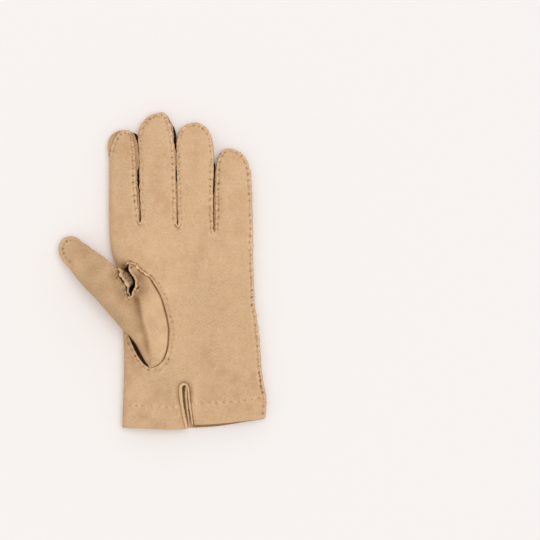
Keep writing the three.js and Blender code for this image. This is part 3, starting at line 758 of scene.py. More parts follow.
def field_normals(loop, q):
    """The inward direction of the closed line's nearest point, for each of q."""
    row = Edge(np.c_[loop[:, :2], normals_of(loop)], True).foot(q)[2][:, 2:4]
    return row / np.maximum(np.linalg.norm(row, axis=1), 1e-9)[:, None]


def plan(loops, rows=FINE, spacing=SPACING):
    """Points and triangles of the flat region inside loops[0] and outside the others."""
    edges = [Edge(l[:, :2], True) for l in loops]

    def within(q):
        ok = inside(q, loops[0][:, :2])
        for other in loops[1:]:
            ok &= ~inside(q, other[:, :2])
        return ok

    def room(q):
        return np.min([e.foot(q)[0] for e in edges], axis=0)

    pts, cons, at = [], [], 0
    for l in loops:
        n = len(l)
        pts.append(l[:, :2])
        cons += [(at + i, at + (i + 1) % n) for i in range(n)]
        at += n
    for k, l in enumerate(loops):
        nrm = normals_of(l) * (1 if k == 0 else -1)
        for d in rows:
            q = l[:, :2] + nrm * d
            if d > 2.5:
                q = q[::2]
            q = q[within(q)]
            if len(q):
                pts.append(q[room(q) > d - 0.12])
    lo, hi = loops[0][:, :2].min(0), loops[0][:, :2].max(0)
    ys = np.arange(lo[1], hi[1], spacing * math.sqrt(3) / 2)
    grid = np.array([(x + (spacing / 2 if r % 2 else 0), y) for r, y in enumerate(ys) for x in np.arange(lo[0], hi[0], spacing)])
    grid = grid[within(grid)]
    pts.append(grid[room(grid) > (rows[-1] if rows else 0) + spacing * 0.5])
    P = np.vstack(pts)
    made = delaunay_2d_cdt([Vector(p) for p in P], cons, [], 0, 1e-7)
    V = np.array([tuple(v) for v in made[0]])
    F = np.array([f for f in made[2] if len(f) == 3])
    of = {}
    for i, olds in enumerate(made[3]):
        for o in olds:
            of[o] = i
    F = F[within(V[F].mean(1))]
    a, b, c = V[F[:, 0]], V[F[:, 1]], V[F[:, 2]]
    turn = (b - a)[:, 0] * (c - a)[:, 1] - (b - a)[:, 1] * (c - a)[:, 0]
    F[turn < 0] = F[turn < 0][:, ::-1]
    rims, at = [], 0
    for l in loops:
        rims.append(np.array([of[at + i] for i in range(len(l))]))
        at += len(l)
    used = np.unique(np.r_[F.ravel(), np.concatenate(rims)])
    back = -np.ones(len(V), int)
    back[used] = np.arange(len(used))
    return V[used], back[F], [back[r] for r in rims]


def relax(z, F, hold, times):
    """Evens heights out over the triangles; hold is 1 where they stay."""
    e = np.vstack([F[:, [0, 1]], F[:, [1, 2]], F[:, [2, 0]]])
    n = len(z)
    count = np.bincount(e.ravel(), minlength=n).astype(float)
    for _ in range(times):
        total = np.bincount(e[:, 0], weights=z[e[:, 1]], minlength=n) + np.bincount(e[:, 1], weights=z[e[:, 0]], minlength=n)
        z = hold * z + (1 - hold) * (0.5 * z + 0.5 * total / np.maximum(count, 1))
    return z


def mesh_normals(P, F):
    n = np.zeros_like(P)
    f = np.cross(P[F[:, 1]] - P[F[:, 0]], P[F[:, 2]] - P[F[:, 0]])
    for k in range(3):
        np.add.at(n, F[:, k], f)
    return n / np.maximum(np.linalg.norm(n, axis=1), 1e-9)[:, None]


class Body:
    """Gathers points and faces for one mesh, with a tone for each point."""

    def __init__(self):
        self.v, self.f, self.tone, self.n = [], [], [], 0

    def points(self, p, tone=0.0):
        p = np.asarray(p, float).reshape(-1, 3)
        self.v.append(p)
        self.tone.append(np.broadcast_to(np.asarray(tone, float), (len(p),)).copy())
        self.n += len(p)
        return np.arange(self.n - len(p), self.n)

    def at(self, ids):
        return np.vstack(self.v)[ids]

    def faces(self, f):
        self.f += [tuple(int(i) for i in r) for r in f]

    def strip(self, a, b, closed=False, flip=False):
        m = len(a)
        for i in range(m if closed else m - 1):
            j = (i + 1) % m
            q = tuple(dict.fromkeys(int(x) for x in (a[i], a[j], b[j], b[i])))
            if len(q) >= 3:
                self.f.append(q[::-1] if flip else q)

    def make(self, name, material, node=None, slot=None):
        me = bpy.data.meshes.new(name)
        # the tables are drawn as the camera sees them: what is nearer to it moves in
        v = np.vstack(self.v)
        v[:, :2] = CENTRE + (v[:, :2] - CENTRE) * ((2000 - v[:, 2:]) / 1993)
        v *= MM
        me.from_pydata(v.tolist(), [], self.f)
        if me.validate():
            print("mended", name)
        me.update()
        me.polygons.foreach_set("use_smooth", [True] * len(me.polygons))
        att = me.attributes.new("tone", "FLOAT", "POINT")
        att.data.foreach_set("value", np.concatenate(self.tone).astype(np.float32))
        me.materials.append(material)
        o = bpy.data.objects.new(name, me)
        bpy.context.scene.collection.objects.link(o)
        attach(o, "root")
        if node:
            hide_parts(node)
        print(name, len(me.vertices), sum(len(p.vertices) - 2 for p in me.polygons))
        return o


def rim(body, outer, inner, out, bulge, rows=3, closed=True, flip=False, tone=0.5, ends=None):
    """The cut edge between two faces: rows of points that stand out by bulge."""
    a, b = body.at(outer), body.at(inner)
    tone = np.broadcast_to(tone, (len(a),))
    last, made = outer, []
    for k in range(1, rows + 1):
        t = k / (rows + 1)
        q = a * (1 - t) + b * t
        q[:, :2] += out * (np.asarray(bulge) * math.sin(math.pi * t))[:, None]
        if ends is None:
            ids = body.points(q, tone)
        else:
            ids = np.r_[ends[k - 1][0], body.points(q[1:-1], tone[1:-1]), ends[k - 1][1]]
        made.append((ids[0], ids[-1]))
        body.strip(last, ids, closed, flip)
        last = ids
    body.strip(last, inner, closed, flip)
    return made


class Seam:
    """Stitches along a line, no two quite alike."""

    def __init__(self, length, seed, pitch=PITCH, inset=2.0):
        r = np.random.default_rng(seed)
        n = max(2, int(round(length / pitch)))
        self.at = (np.arange(n) + 0.5) * length / n + r.normal(0, 0.45, n)
        self.mid = (self.at[1:] + self.at[:-1]) / 2
        self.deep = np.clip(r.normal(0.85, 0.35, n), 0.15, 1.6)
        self.puff = np.clip(r.normal(0.9, 0.45, n + 1), 0.1, 2.0)
        self.inset = inset + r.normal(0, 0.18, n)
        self.slant = r.normal(0.3, 0.22, n)
        self.seed = seed

    def near(self, s):
        i = np.searchsorted(self.mid, s)
        return i, s - self.at[i]

    def pull(self, s, width=0.8):
        """1 at each stitch, 0 between."""
        i, ds = self.near(s)
        return bell(ds / width) * self.deep[i]

    def bumps(self, s):
        """1 or so between stitches, 0 at each."""
        i, ds = self.near(s)
        j = np.where(ds > 0, i + 1, i)
        return (1 - bell(ds / 1.15)) * self.puff[j]

    def relief(self, d, s, depth=0.45, crest=0.32, puff=0.26, lip_at=0.8, dark=0.68, light=0.55):
        """Height added beside the line, and the tone that goes with it: darker in each stitch hole, partly painted
        shade; lighter on the raw edge, and on the puffs between stitches as painted light.
        """
        i, ds = self.near(s)
        inset = self.inset[i]
        hole = bell((d - inset - self.slant[i] * ds) / 0.62) * bell(ds / 0.8) * self.deep[i]
        bump = self.bumps(s)
        track = bell((d - inset) / 0.8)
        lip = bell((d - lip_at) / 0.6)
        swell = bell((d - inset - 1.35) / 0.8)
        dz = -depth * hole - 0.16 * track + lip * (0.12 + crest * bump) + puff * swell * bump
        tone = -dark * hole * (0.3 + 0.85 * self.deep[i]) - 0.12 * track + light * lip * bump + 0.45 * light * swell * bump
        return dz, tone

    def wander(self, s, amount=0.2):
        """How far the raw edge strays outwards."""
        return amount * (0.9 * self.bumps(s) - 0.6 * self.pull(s, 1.0)) + 0.17 * waves(s, 7, self.seed + 1) + 0.13 * waves(s, 2.7, self.seed + 2)


class Threads:
    """The stitches themselves: short bars of thread, sunk into the suede."""

    def __init__(self, seed):
        self.body, self.r = Body(), np.random.default_rng(seed)

    def row(self, edge, seam, side, surface, weight=None, long=0.8, thin=0.17, sink=0.04):
        """side is 1 for the right of the line's run and -1 for its left."""
        P, tree = surface
        for i, s in enumerate(seam.at):
            if s < 0 or s > edge.length:
                continue
            row, t = edge.at(s)
            if weight is not None and weight(row) < 0.5:
                continue
            n = np.array([t[1], -t[0]]) * side
            way = t + n * seam.slant[i]
            way /= np.linalg.norm(way)
            mid = row[:2] + n * seam.inset[i]
            u = np.linspace(-1, 1, 7)
            xy = mid + way * (u * long * self.r.uniform(0.8, 1.15))[:, None]
            z = np.array([np.mean([P[k[1], 2] for k in tree.find_n((x, y, 0), 3)]) for x, y in xy])
            z = np.interp(u, [-1, 0, 1], [z[0], z[2:5].mean(), z[-1]])
            arch = 0.1 * (1 - u * u) - 0.32 * np.abs(u) ** 5 - sink
            line = np.c_[xy, z + arch]
            self.bar(line, thin * self.r.uniform(0.85, 1.15))

    def bar(self, line, r, ring=7):
        t = np.gradient(line, axis=0)
        t /= np.linalg.norm(t, axis=1)[:, None]
        side = np.cross(t, (0, 0, 1.0))
        side /= np.linalg.norm(side, axis=1)[:, None]
        up = np.cross(side, t)
        a = np.linspace(0, 2 * math.pi, ring, endpoint=False)
        last = None
        n = len(line)
        tone = self.r.normal(0, 0.15)
        for j in range(n):
            u = 2 * j / (n - 1) - 1
            k = r * (1 - 0.55 * abs(u) ** 4)
            q = line[j] + side[j] * (np.cos(a) * k)[:, None] + up[j] * (np.sin(a) * k)[:, None]
            ids = self.body.points(q, tone)
            if last is not None:
                self.body.strip(last, ids, closed=True, flip=True)
            else:
                self.body.f.append(tuple(int(x) for x in ids))
            last = ids
        self.body.f.append(tuple(int(x) for x in last[::-1]))


# ------------------------------------------------------------------- materials
def suede(name, light, mid, dark, bump=0.35, seed=0.0):
    m = bpy.data.materials.new(name)
    m.use_nodes = True
    nt = m.node_tree
    nt.nodes.clear()
    N, L = nt.nodes.new, nt.links.new

    def node(kind, **set_to):
        n = N(kind)
        for k, v in set_to.items():
            n.inputs[k].default_value = v
        return n

    out, sh = N("ShaderNodeOutputMaterial"), N("ShaderNodeBsdfPrincipled")
    L(sh.outputs[0], out.inputs[0])
    sh.inputs["Roughness"].default_value = 0.95
    sh.inputs["Specular IOR Level"].default_value = 0.12
    sh.inputs["Sheen Weight"].default_value = 0.12
    sh.inputs["Sheen Roughness"].default_value = 0.5
    sh.inputs["Sheen Tint"].default_value = (1.0, 0.9, 0.78, 1.0)
    co = N("ShaderNodeTexCoord")
    shift = N("ShaderNodeMapping")
    shift.inputs["Location"].default_value = (seed, seed * 0.7, seed * 1.3)
    L(co.outputs["Object"], shift.inputs["Vector"])

    def noise(scale, detail=2.0, rough=0.5):
        n = node("ShaderNodeTexNoise", Scale=scale, Detail=detail, Roughness=rough)
        L(shift.outputs[0], n.inputs["Vector"])
        return n

    def blend(a, b, fac):
        n = N("ShaderNodeMix")
        n.data_type = "RGBA"
        for sock, v in ((0, fac), (6, a), (7, b)):
            if isinstance(v, (float, int)):
                n.inputs[sock].default_value = v
            elif isinstance(v, tuple):
                n.inputs[sock].default_value = (*v, 1)
            else:
                L(v, n.inputs[sock])
        return n.outputs[2]

    def ramp(value, low, high, a=0.0, b=1.0):
        n = node("ShaderNodeMapRange", **{"From Min": low, "From Max": high, "To Min": a, "To Max": b})
        L(value, n.inputs["Value"])
        return n.outputs[0]

    patch = noise(46, 3, 0.55)
    cloud = noise(150, 3, 0.55)
    fleck = noise(620, 2, 0.6)
    nap = noise(2600, 3, 0.7)
    fuzz = noise(1150, 2, 0.6)
    c = blend(dark, mid, ramp(patch.outputs[0], 0.38, 0.54))
    c = blend(c, light, ramp(cloud.outputs[0], 0.44, 0.74, 0.0, 0.7))
    grain = noise(1300, 2.5, 0.6)
    c = blend(c, tuple(x * 0.88 for x in dark), ramp(fleck.outputs[0], 0.50, 0.74, 0.0, 0.6))
    c = blend(c, tuple(min(1, x * 1.1) for x in light), ramp(grain.outputs[0], 0.52, 0.76, 0.0, 0.7))
    c = blend(c, tuple(x * 0.9 for x in dark), ramp(grain.outputs[0], 0.48, 0.28, 0.0, 0.6))
    c = blend(c, light, ramp(nap.outputs[0], 0.52, 0.8, 0.0, 0.5))
    # the tone darkens or lightens the suede: partly its nap's own colour, partly painted shade and painted light; below
    # -1 it turns near black, painted shadow in clefts and gaps
    tone = N("ShaderNodeAttribute")
    tone.attribute_name = "tone"
    c = blend(c, (dark[0] * 0.45, dark[1] * 0.38, dark[2] * 0.3), ramp(tone.outputs["Fac"], 0.0, -1.0, 0.0, 0.85))
    c = blend(c, tuple(min(1, x * 1.2) for x in light), ramp(tone.outputs["Fac"], 0.0, 1.0, 0.0, 0.85))
    c = blend(c, (0.012, 0.008, 0.005), ramp(tone.outputs["Fac"], -1.0, -2.0, 0.0, 0.95))
    L(c, sh.inputs["Base Color"])
    # no sheen where the tone paints near-black shadow
    L(ramp(tone.outputs["Fac"], -0.8, -1.5, 0.12, 0.0), sh.inputs["Sheen Weight"])
    add = N("ShaderNodeMath")
    add.operation = "MULTIPLY_ADD"
    L(nap.outputs[0], add.inputs[0])
    add.inputs[1].default_value = 0.7
    L(fuzz.outputs[0], add.inputs[2])
    b = node("ShaderNodeBump", Strength=bump, Distance=0.0005)
    L(add.outputs[0], b.inputs["Height"])
    L(b.outputs[0], sh.inputs["Normal"])
    return m


def srgb(r, g, b):
    def lin(c):
        c /= 255
        return c / 12.92 if c <= 0.04045 else ((c + 0.055) / 1.055) ** 2.4

    return (lin(r), lin(g), lin(b))


SUEDE = suede("suede", srgb(222, 187, 149), srgb(213, 176, 136), srgb(201, 161, 121))
# a darker copy of the suede, painted shade, for the fourchettes and the quirk down between the fingers and in the
# thumb's crotch
SHADED_SUEDE = suede("suede_side", srgb(206, 172, 136), srgb(192, 156, 119), srgb(172, 134, 98), seed=0.31)
BIND = suede("suede_binding", srgb(227, 192, 153), srgb(217, 180, 140), srgb(204, 165, 124), seed=0.17)
THREAD = suede("thread", srgb(205, 168, 128), srgb(190, 152, 112), srgb(168, 130, 92), bump=0.15, seed=0.53)


# ------------------------------------------------------- palm and back (trank)
def flat(rows):
    return [(x, y, 0, 0, 0) for x, y in rows]


back_rows = list(PALM_FINGERS)
for (first, last), rows in reversed(BACK_FINGERS):
    back_rows[first : last + 1] = rows

fold = through(FOLD + [PALM_FINGERS[0]])[:-2]
FOLD_END = tuple(fold[-1])
palm_fingers = through([FOLD_END] + PALM_FINGERS)
back_fingers = through([FOLD_END] + back_rows)
corner = tuple(palm_fingers[-1][:2])
palm_cuff = through(flat([corner, (77.8, -113.1)] + PALM_CUFF))
vent_cut = through(flat([PALM_CUFF[-1]] + VENT_CUT + [PALM_CUFF_LEFT[0]]))
palm_cuff_left = through(flat(PALM_CUFF_LEFT + [(-28.0, -120.5), tuple(fold[0][:2])]))
back_cuff = through(flat([corner, (77.8, -113.3)] + BACK_CUFF + [(-28.0, -120.4), tuple(fold[0][:2])]))

palm_loop = np.vstack([fold, palm_fingers[1:], palm_cuff[1:], vent_cut[1:], palm_cuff_left[1:-1]])
back_loop = np.vstack([fold, back_fingers[1:], back_cuff[1:-1]])
hole_loop = through(HOLE, closed=True)
n_fold = len(fold)
n_palm_sewn = n_fold + len(palm_fingers) - 1
n_back_sewn = n_fold + len(back_fingers) - 1

palm_side = Edge(np.vstack([fold, palm_fingers[1:]]))
back_side = Edge(np.vstack([fold, back_fingers[1:]]))
hole_edge = Edge(hole_loop, True)
vent_edge = Edge(vent_cut)
hem_line = Edge(through(flat(HEM_LINE)))
crease = Edge(through([(x, y, 0) for x, y in CREASE]))
crown_y, crown_z = np.array(CROWN).T
hem_x, hem_y = hem_line.line[:, 0], hem_line.line[:, 1]
palm_seam = Seam(palm_side.length, 21)
back_seam = Seam(back_side.length, 22)
hole_seam = Seam(hole_edge.length, 23, 4.7, 1.8)
hole_far_seam = Seam(hole_edge.length, 24, 4.4, 3.6)
hem_seam = Seam(hem_line.length, 25, 5.5, 0)
ROLL = 3.2
marks = [(Edge(through([(x, y, 0) for x, y in points])), *rest) for points, *rest in MARKS]


def within(x, low, high, soft):
    return smooth((x - low) / soft + 0.5) * smooth((high - x) / soft + 0.5)


def patches(q, table):
    return sum(tone * bell(np.hypot((q[:, 0] - x) / wide, (q[:, 1] - y) / long)) for x, y, wide, long, tone in table)


def clear(q):
    """How plainly the stitches show, 1 or less."""
    x, y = q[:, 0], q[:, 1]
    return 1 - 0.65 * within(y, 42, 108, 8) * np.maximum(within(x, -18.5, -13.2, 0.8), within(x, 10.8, 15.5, 0.8))


def roll(d, r):
    t = np.clip(d / r, 0, 1)
    return r * np.sqrt(np.maximum(0, 1 - (1 - t) ** 2))


def below_hem(q):
    """How far q lies below the line of stitches."""
    return np.interp(q[:, 0], hem_x, hem_y) - q[:, 1]


def shape_palm(q, F=None):
    """Top of the palm's leather, smooth, then the relief, its tone, and where it lies."""
    d, s, row = palm_side.foot(q)
    ze, reach, lip = row[:, 2], row[:, 3], row[:, 4]
    top = np.interp(q[:, 1], crown_y, crown_z)
    folded = 1 - smooth(lip)
    start = ze + folded * roll(d, ROLL) * 0.85
    rest = np.maximum(top - ze - folded * ROLL * 0.85, 0)
    z = start + rest * (1 - (1 - np.clip(d / reach, 0, 1)) ** 2.3)
    dh, sh, rh = hole_edge.foot(q)
    w = smooth(1 - dh / rh[:, 3])
    z = z * (1 - w) + rh[:, 2] * w
    if F is not None:
        hold = np.clip(1 - (np.minimum(d, dh) - 3) / 3, 0, 1)
        z = relax(z, F, hold, 24)
    free = smooth((np.minimum(d, dh) - 1.5) / 8)
    z += free * (0.40 * waves(q, 46, 11) + 0.20 * waves(q, 19, 12) + 0.09 * waves(q, 8, 13))
    finger = smooth((q[:, 1] - 36) / 8)
    z += finger * smooth(d / 5) * 0.2 * waves(np.c_[q[:, 0] * 0.4, q[:, 1]], 17, 14)
    dc, sc, _ = crease.foot(q)
    along = np.sin(np.pi * np.clip(sc / crease.length, 0, 1)) ** 0.6
    z += along * (-0.5 * bell(dc / 2.2) + 0.22 * bell((dc - 5) / 3.0))
    # seams
    r, tone = palm_seam.relief(d, s)
    seen = clear(q)
    dz, tone = r * lip * seen, tone * lip * seen
    sewn = smooth(rh[:, 4])
    upper = smooth((q[:, 1] + 32) / 10)
    r, t = hole_seam.relief(dh, sh, depth=0.5)
    soft = 1 - 0.25 * (1 - upper) * smooth((-10 - q[:, 0]) / 3)
    dz, tone = dz + r * sewn * soft, tone + t * sewn * soft
    # at the top of the hole a lighter raw lip stands up, with painted shade in the groove below it
    tone += 0.75 * upper * sewn * bell((dh - 0.5) / 0.8) * (0.5 + 0.5 * hole_seam.bumps(sh))
    dz += upper * sewn * (0.6 * bell((dh - 0.6) / 0.7) * (0.4 + 0.6 * hole_seam.bumps(sh)) - 0.45 * bell((dh - 1.9) / 0.5))
    tone -= 0.45 * upper * sewn * bell((dh - 1.9) / 0.5)
    far = (1 - sewn) * smooth((q[:, 0] + 14) / 6)
    r, t = hole_far_seam.relief(dh, sh, depth=0.45, crest=0.12, lip_at=1.3, puff=0.2, dark=0.95, light=0.7)
    dz, tone = dz + r * far, tone + t * far
    for e, width, lift, shade in marks:
        dm, sm, _ = e.foot(q)
        k = bell((dm - 0.25 * width * waves(sm, 5, 61)) / width) * np.sin(np.pi * np.clip(sm / e.length, 0, 1)) ** 0.5
        dz, tone = dz + lift * k, tone + shade * k
    # painted shade down in the crotch and towards the thumb, broad painted light and shade over the palm and fingers,
    # and the listed patches
    tone -= 1.1 * bell(np.hypot(q[:, 0] + 30, q[:, 1] - 1.6) / 4.6)
    tone -= 0.12 * smooth((-14 - q[:, 0]) / 10) * smooth((-40 - q[:, 1]) / 20)
    tone += 0.16 * smooth((q[:, 1] + 12) / 30) - 0.06 - 0.14 * smooth((-16 - q[:, 0]) / 5) * smooth((q[:, 1] - 20) / 12)
    tone += 0.13 * bell((q[:, 0] - 11) / 9) * bell((q[:, 1] + 45) / 24) + patches(q, PALM_SHADE_AND_NAP)
    near_seam = np.maximum(lip * bell((d - 1.6) / 1.5), sewn * bell((dh - 1.4) / 1.5))
    fuzz = waves(q, 2.3, 71) + 0.6 * waves(q, 1.4, 72)
    dz, tone = dz + 0.1 * near_seam * fuzz, tone + 0.27 * near_seam * fuzz
    # the hem: two layers, and a line of stitches
    low = below_hem(q)
    inner = smooth((d - 3) / 2)
    z += 0.2 * smooth((low + 0.9) / 1.3)
    dm, sm, _ = hem_line.foot(q)
    r, t = hem_seam.relief(dm, sm, depth=0.22, crest=0, puff=0, dark=0.15, light=0)
    dz, tone = dz + r * inner, tone + t * inner
    dz += inner * 0.12 * bell((dm - 1.5) / 0.8) * hem_seam.bumps(sm)
    tone += inner * (0.3 * bell((dm - 0.4) / 0.8) * hem_seam.bumps(sm) + 0.16 * bell(dm / 1.3) * fuzz)
    # it sinks towards the binding, with painted shade along the vent's edge
    dv, _, _ = vent_edge.foot(q)
    z -= 0.75 * bell(dv / 1.7) * smooth((q[:, 1] + 121) / 3)
    tone -= 0.5 * bell(dv / 0.9) * smooth((q[:, 1] + 112) / 20)
    tone -= 0.2 * bell(dv / 0.7)
    return z, dz, tone, d, s, lip, dh, sh, rh


def back_edge_height(ze):
    """Underside of the back's leather at a sewn edge, from the palm's height there."""
    pair = smooth((8.2 - ze) / 1.6)
    return pair * (ze - 2 * LEATHER - 0.12) + (1 - pair) * 0.9


def shape_back(q, F=None):
    """Underside of the back's leather."""
    d, s, row = back_side.foot(q)
    ze, lip = row[:, 2], row[:, 4]
    folded = 1 - smooth(lip)
    edge = folded * ze + (1 - folded) * back_edge_height(ze)
    # at the index fingertip its edge lies further out, and it stays up under the palm's
    tip = within(q[:, 0], -48, -29, 2) * smooth((q[:, 1] - 84) / 5)
    under = np.where(inside(q, palm_loop[:, :2]), np.minimum(palm_side.foot(q)[0], d), 0)
    far = d * (1 - tip) + under * tip
    fall = np.minimum(folded * roll(far, ROLL) * 0.9, edge)
    left = np.maximum(edge - folded * ROLL * 0.9, 0)
    r = np.where(folded > 0.5, 9, np.where(edge > 2, 12, 3.2))
    z = edge - fall - left * (1 - (1 - np.clip(far / r, 0, 1)) ** 2.2)
    if F is not None:
        z = relax(z, F, np.clip(1 - (far - 1.5) / 2, 0, 1), 10)
    z = np.maximum(z, 0) + smooth((far - 2) / 6) * np.maximum(0, 0.10 + 0.12 * waves(q, 30, 17))
    r, tone = back_seam.relief(d, s, depth=0.5)
    dm, sm, _ = hem_line.foot(q)
    stitch = bell(dm / 0.7) * smooth((d - 3) / 2) * hem_seam.pull(sm)
    z = np.maximum(z - r * lip * 0.8, 0.02) + 0.3 * stitch
    return z, tone * lip - 0.4 * stitch, d, s, lip


def nearest_z(q, P, z):
    t = tree_of(P)
    out = np.empty(len(q))
    for i, v in enumerate(q):
        found = t.find_n((v[0], v[1], 0), 4)
        w = np.array([1 / (f[2] + 0.05) for f in found])
        out[i] = np.sum(w * z[[f[1] for f in found]]) / w.sum()
    return out


def thick(q):
    return LEATHER + (HEM - LEATHER) * smooth((below_hem(q) + 0.6) / 0.8)


def stray(q, n, d, amount):
    """Moves points near an edge outwards by amount, fading inwards."""
    return q - n * (amount * np.clip(1 - d / 2.6, 0, 1))[:, None]


trank = Body()
pq, pF, pR = plan([palm_loop, hole_loop])
pz, pdz, ptone, pd, ps, plip, dh, sh, rh = shape_palm(pq, pF)
in_cleft = within(pq[:, 1], 34, 104, 6) * np.max([within(pq[:, 0], a, b, 0.8) for a, b in ((-23, -15.5), (7.5, 13.5), (36.5, 42.5))], axis=0)
pxy = stray(pq, field_normals(palm_loop, pq), pd, palm_seam.wander(ps) * plip * (1 - 0.5 * in_cleft))
hole_in = field_normals(hole_loop, pq)
pxy += hole_in * ((hole_seam.wander(sh, 0.1 + 0.55 * smooth((pq[:, 1] + 32) / 10)) * rh[:, 4] * np.clip(0.35 + smooth((pq[:, 1] + 32) / 10), 0, 1)) * np.clip(1 - dh / 2.2, 0, 1))[:, None]
PO = trank.points(np.c_[pxy, pz + pdz], ptone)
trank.faces(PO[pF])

bq, bF, bR = plan([back_loop], rows=[0.3, 0.8, 1.4, 2.0, 2.7, 3.6], spacing=1.9)
bz, btone, bd, bs, blip = shape_back(bq, bF)
bxy = stray(bq, field_normals(back_loop, bq), bd, (back_seam.wander(bs, 0.1) * 0.3 - 0.03) * blip)
shared = np.zeros(len(bq), bool)
shared[bR[0][:n_fold]] = True
BO = np.empty(len(bq), int)
BO[~shared] = trank.points(np.c_[bxy, bz][~shared], btone[~shared])
BO[bR[0][:n_fold]] = PO[pR[0][:n_fold]]
trank.faces(BO[bF][:, ::-1])

# inner faces: at the fold they lie a layer inside it, at a cut edge a layer under it
FADE = 12
ease_in = np.linspace(1, 0, FADE)


def inset_of(n):
    k = np.zeros(n)
    k[:n_fold] = 0.85
    k[n_fold : n_fold + FADE] = 0.85 * ease_in
    return k


def inner_face(loop, holes, xy, z, ids, up, first):
    loop_in = loop[:, :2] + normals_of(loop) * inset_of(len(loop))[:, None]
    q, F, R = plan([loop_in] + [h[:, :2] for h in holes], rows=[1.8], spacing=4.2)
    zi = nearest_z(q, xy, z) - up * thick(q)
    edge = trank.at(ids)
    layer = thick(loop[:, :2])
    layer[:n_fold] = 0
    layer[n_fold : n_fold + FADE] *= 1 - ease_in
    q[R[0]] = edge[:, :2] + normals_of(loop) * inset_of(len(loop))[:, None]
    zi[R[0]] = edge[:, 2] - up * layer
    for h, r in zip(first, R[1:]):
        e = trank.at(h)
        q[r] = e[:, :2]
        zi[r] = e[:, 2] - up * LEATHER
    return q, F, R, zi


def shown(q):
    """Tone of the back's inner face: painted shadow where it shows beside the palm's edge, near black down the clefts
    between the fingers, paler in parts of them, and painted shade at the index tip and by the cuff right of the vent.
    """
    d = palm_side.foot(q)[0]
    near = np.where(inside(q, palm_loop[:, :2]), smooth((3.2 - d) / 1.2), 1)
    x, y = q[:, 0], q[:, 1]
    cleft = np.maximum(
        within(x, -25.5, -16, 0.5) * within(y, 36, 106, 2),
        np.maximum(within(x, 3, 13.5, 0.5) * within(y, 33, 111, 2), within(x, 36, 44, 0.5) * within(y, 29, 83, 2)),
    )
    paler = within(x, -25.5, -16, 0.5) * np.maximum(within(y, 79, 98, 2), within(y, 44, 64, 2))
    paler += within(x, 3, 13.5, 0.5) * np.maximum(within(y, 83, 94, 2), smooth((69 - y) / 3))
    paler += within(x, 36, 44, 0.5) * smooth((58 - y) / 5)
    tip = within(x, -44, -30, 1) * smooth((y - 86) / 3)
    low = smooth((x - 22) / 2) * smooth((-108 - y) / 2)
    return -0.15 - near * ((1.8 - 1.05 * paler) * cleft + (0.05 + 0.9 * bell(d / 0.55)) * tip * (1 - cleft)) - 0.7 * low


iq, iF, iR, iz = inner_face(palm_loop, [hole_loop], pq, pz, PO[pR[0]], 1, [PO[pR[1]]])
PI = trank.points(np.c_[iq, iz], -0.15)
trank.faces(PI[iF][:, ::-1])
jq, jF, jR, jz = inner_face(back_loop, [], bq, bz, BO[bR[0]], -1, [])
shared = np.zeros(len(jq), bool)
shared[jR[0][:n_fold]] = True
BI = np.empty(len(jq), int)
jtone = shown(jq)
BI[~shared] = trank.points(np.c_[jq, jz][~shared], jtone[~shared])
BI[jR[0][:n_fold]] = PI[iR[0][:n_fold]]
trank.faces(BI[jF])

# the back's cut edge takes the painted shadow of its inner face; the palm's cut edge is a lighter raw edge
palm_rim_tone, back_rim_tone = np.full(len(palm_loop), 0.4), jtone[jR[0]] + 0.15
ends = None
for loop, n_sewn, R, inner, O, flip, rim_tone in ((palm_loop, n_palm_sewn, pR, PI[iR[0]], PO, False, palm_rim_tone), (back_loop, n_back_sewn, bR, BI[jR[0]], BO, True, back_rim_tone)):
    span = np.r_[np.arange(n_fold - 1, len(loop)), 0]
    bulge = np.where((span >= n_sewn) | (span == 0), HEM * 0.22, 0.16)
    bulge[0] = bulge[-1] = 0
    bulge[1 : FADE + 1] *= 1 - ease_in
    ends = rim(trank, O[R[0][span]], inner[span], -normals_of(loop)[span], bulge, closed=False, flip=flip, tone=rim_tone[span], ends=ends)
# where the hole's rim tucks under, its cut edge is painted dark as shade; elsewhere it is a lighter raw edge
rim(trank, PO[pR[1]], PI[iR[1]], normals_of(hole_loop), np.full(len(hole_loop), 0.16), flip=True, tone=np.where(hole_loop[:, 4] > 0.6, 0.6, -1.0))
trank.make("trank_suede", SUEDE, "trank", "suede")


# ----------------------------------------------------------------- fourchettes
def palm_rim_z(i):
    return trank.at(PO[pR[0][i]])[:, 2]


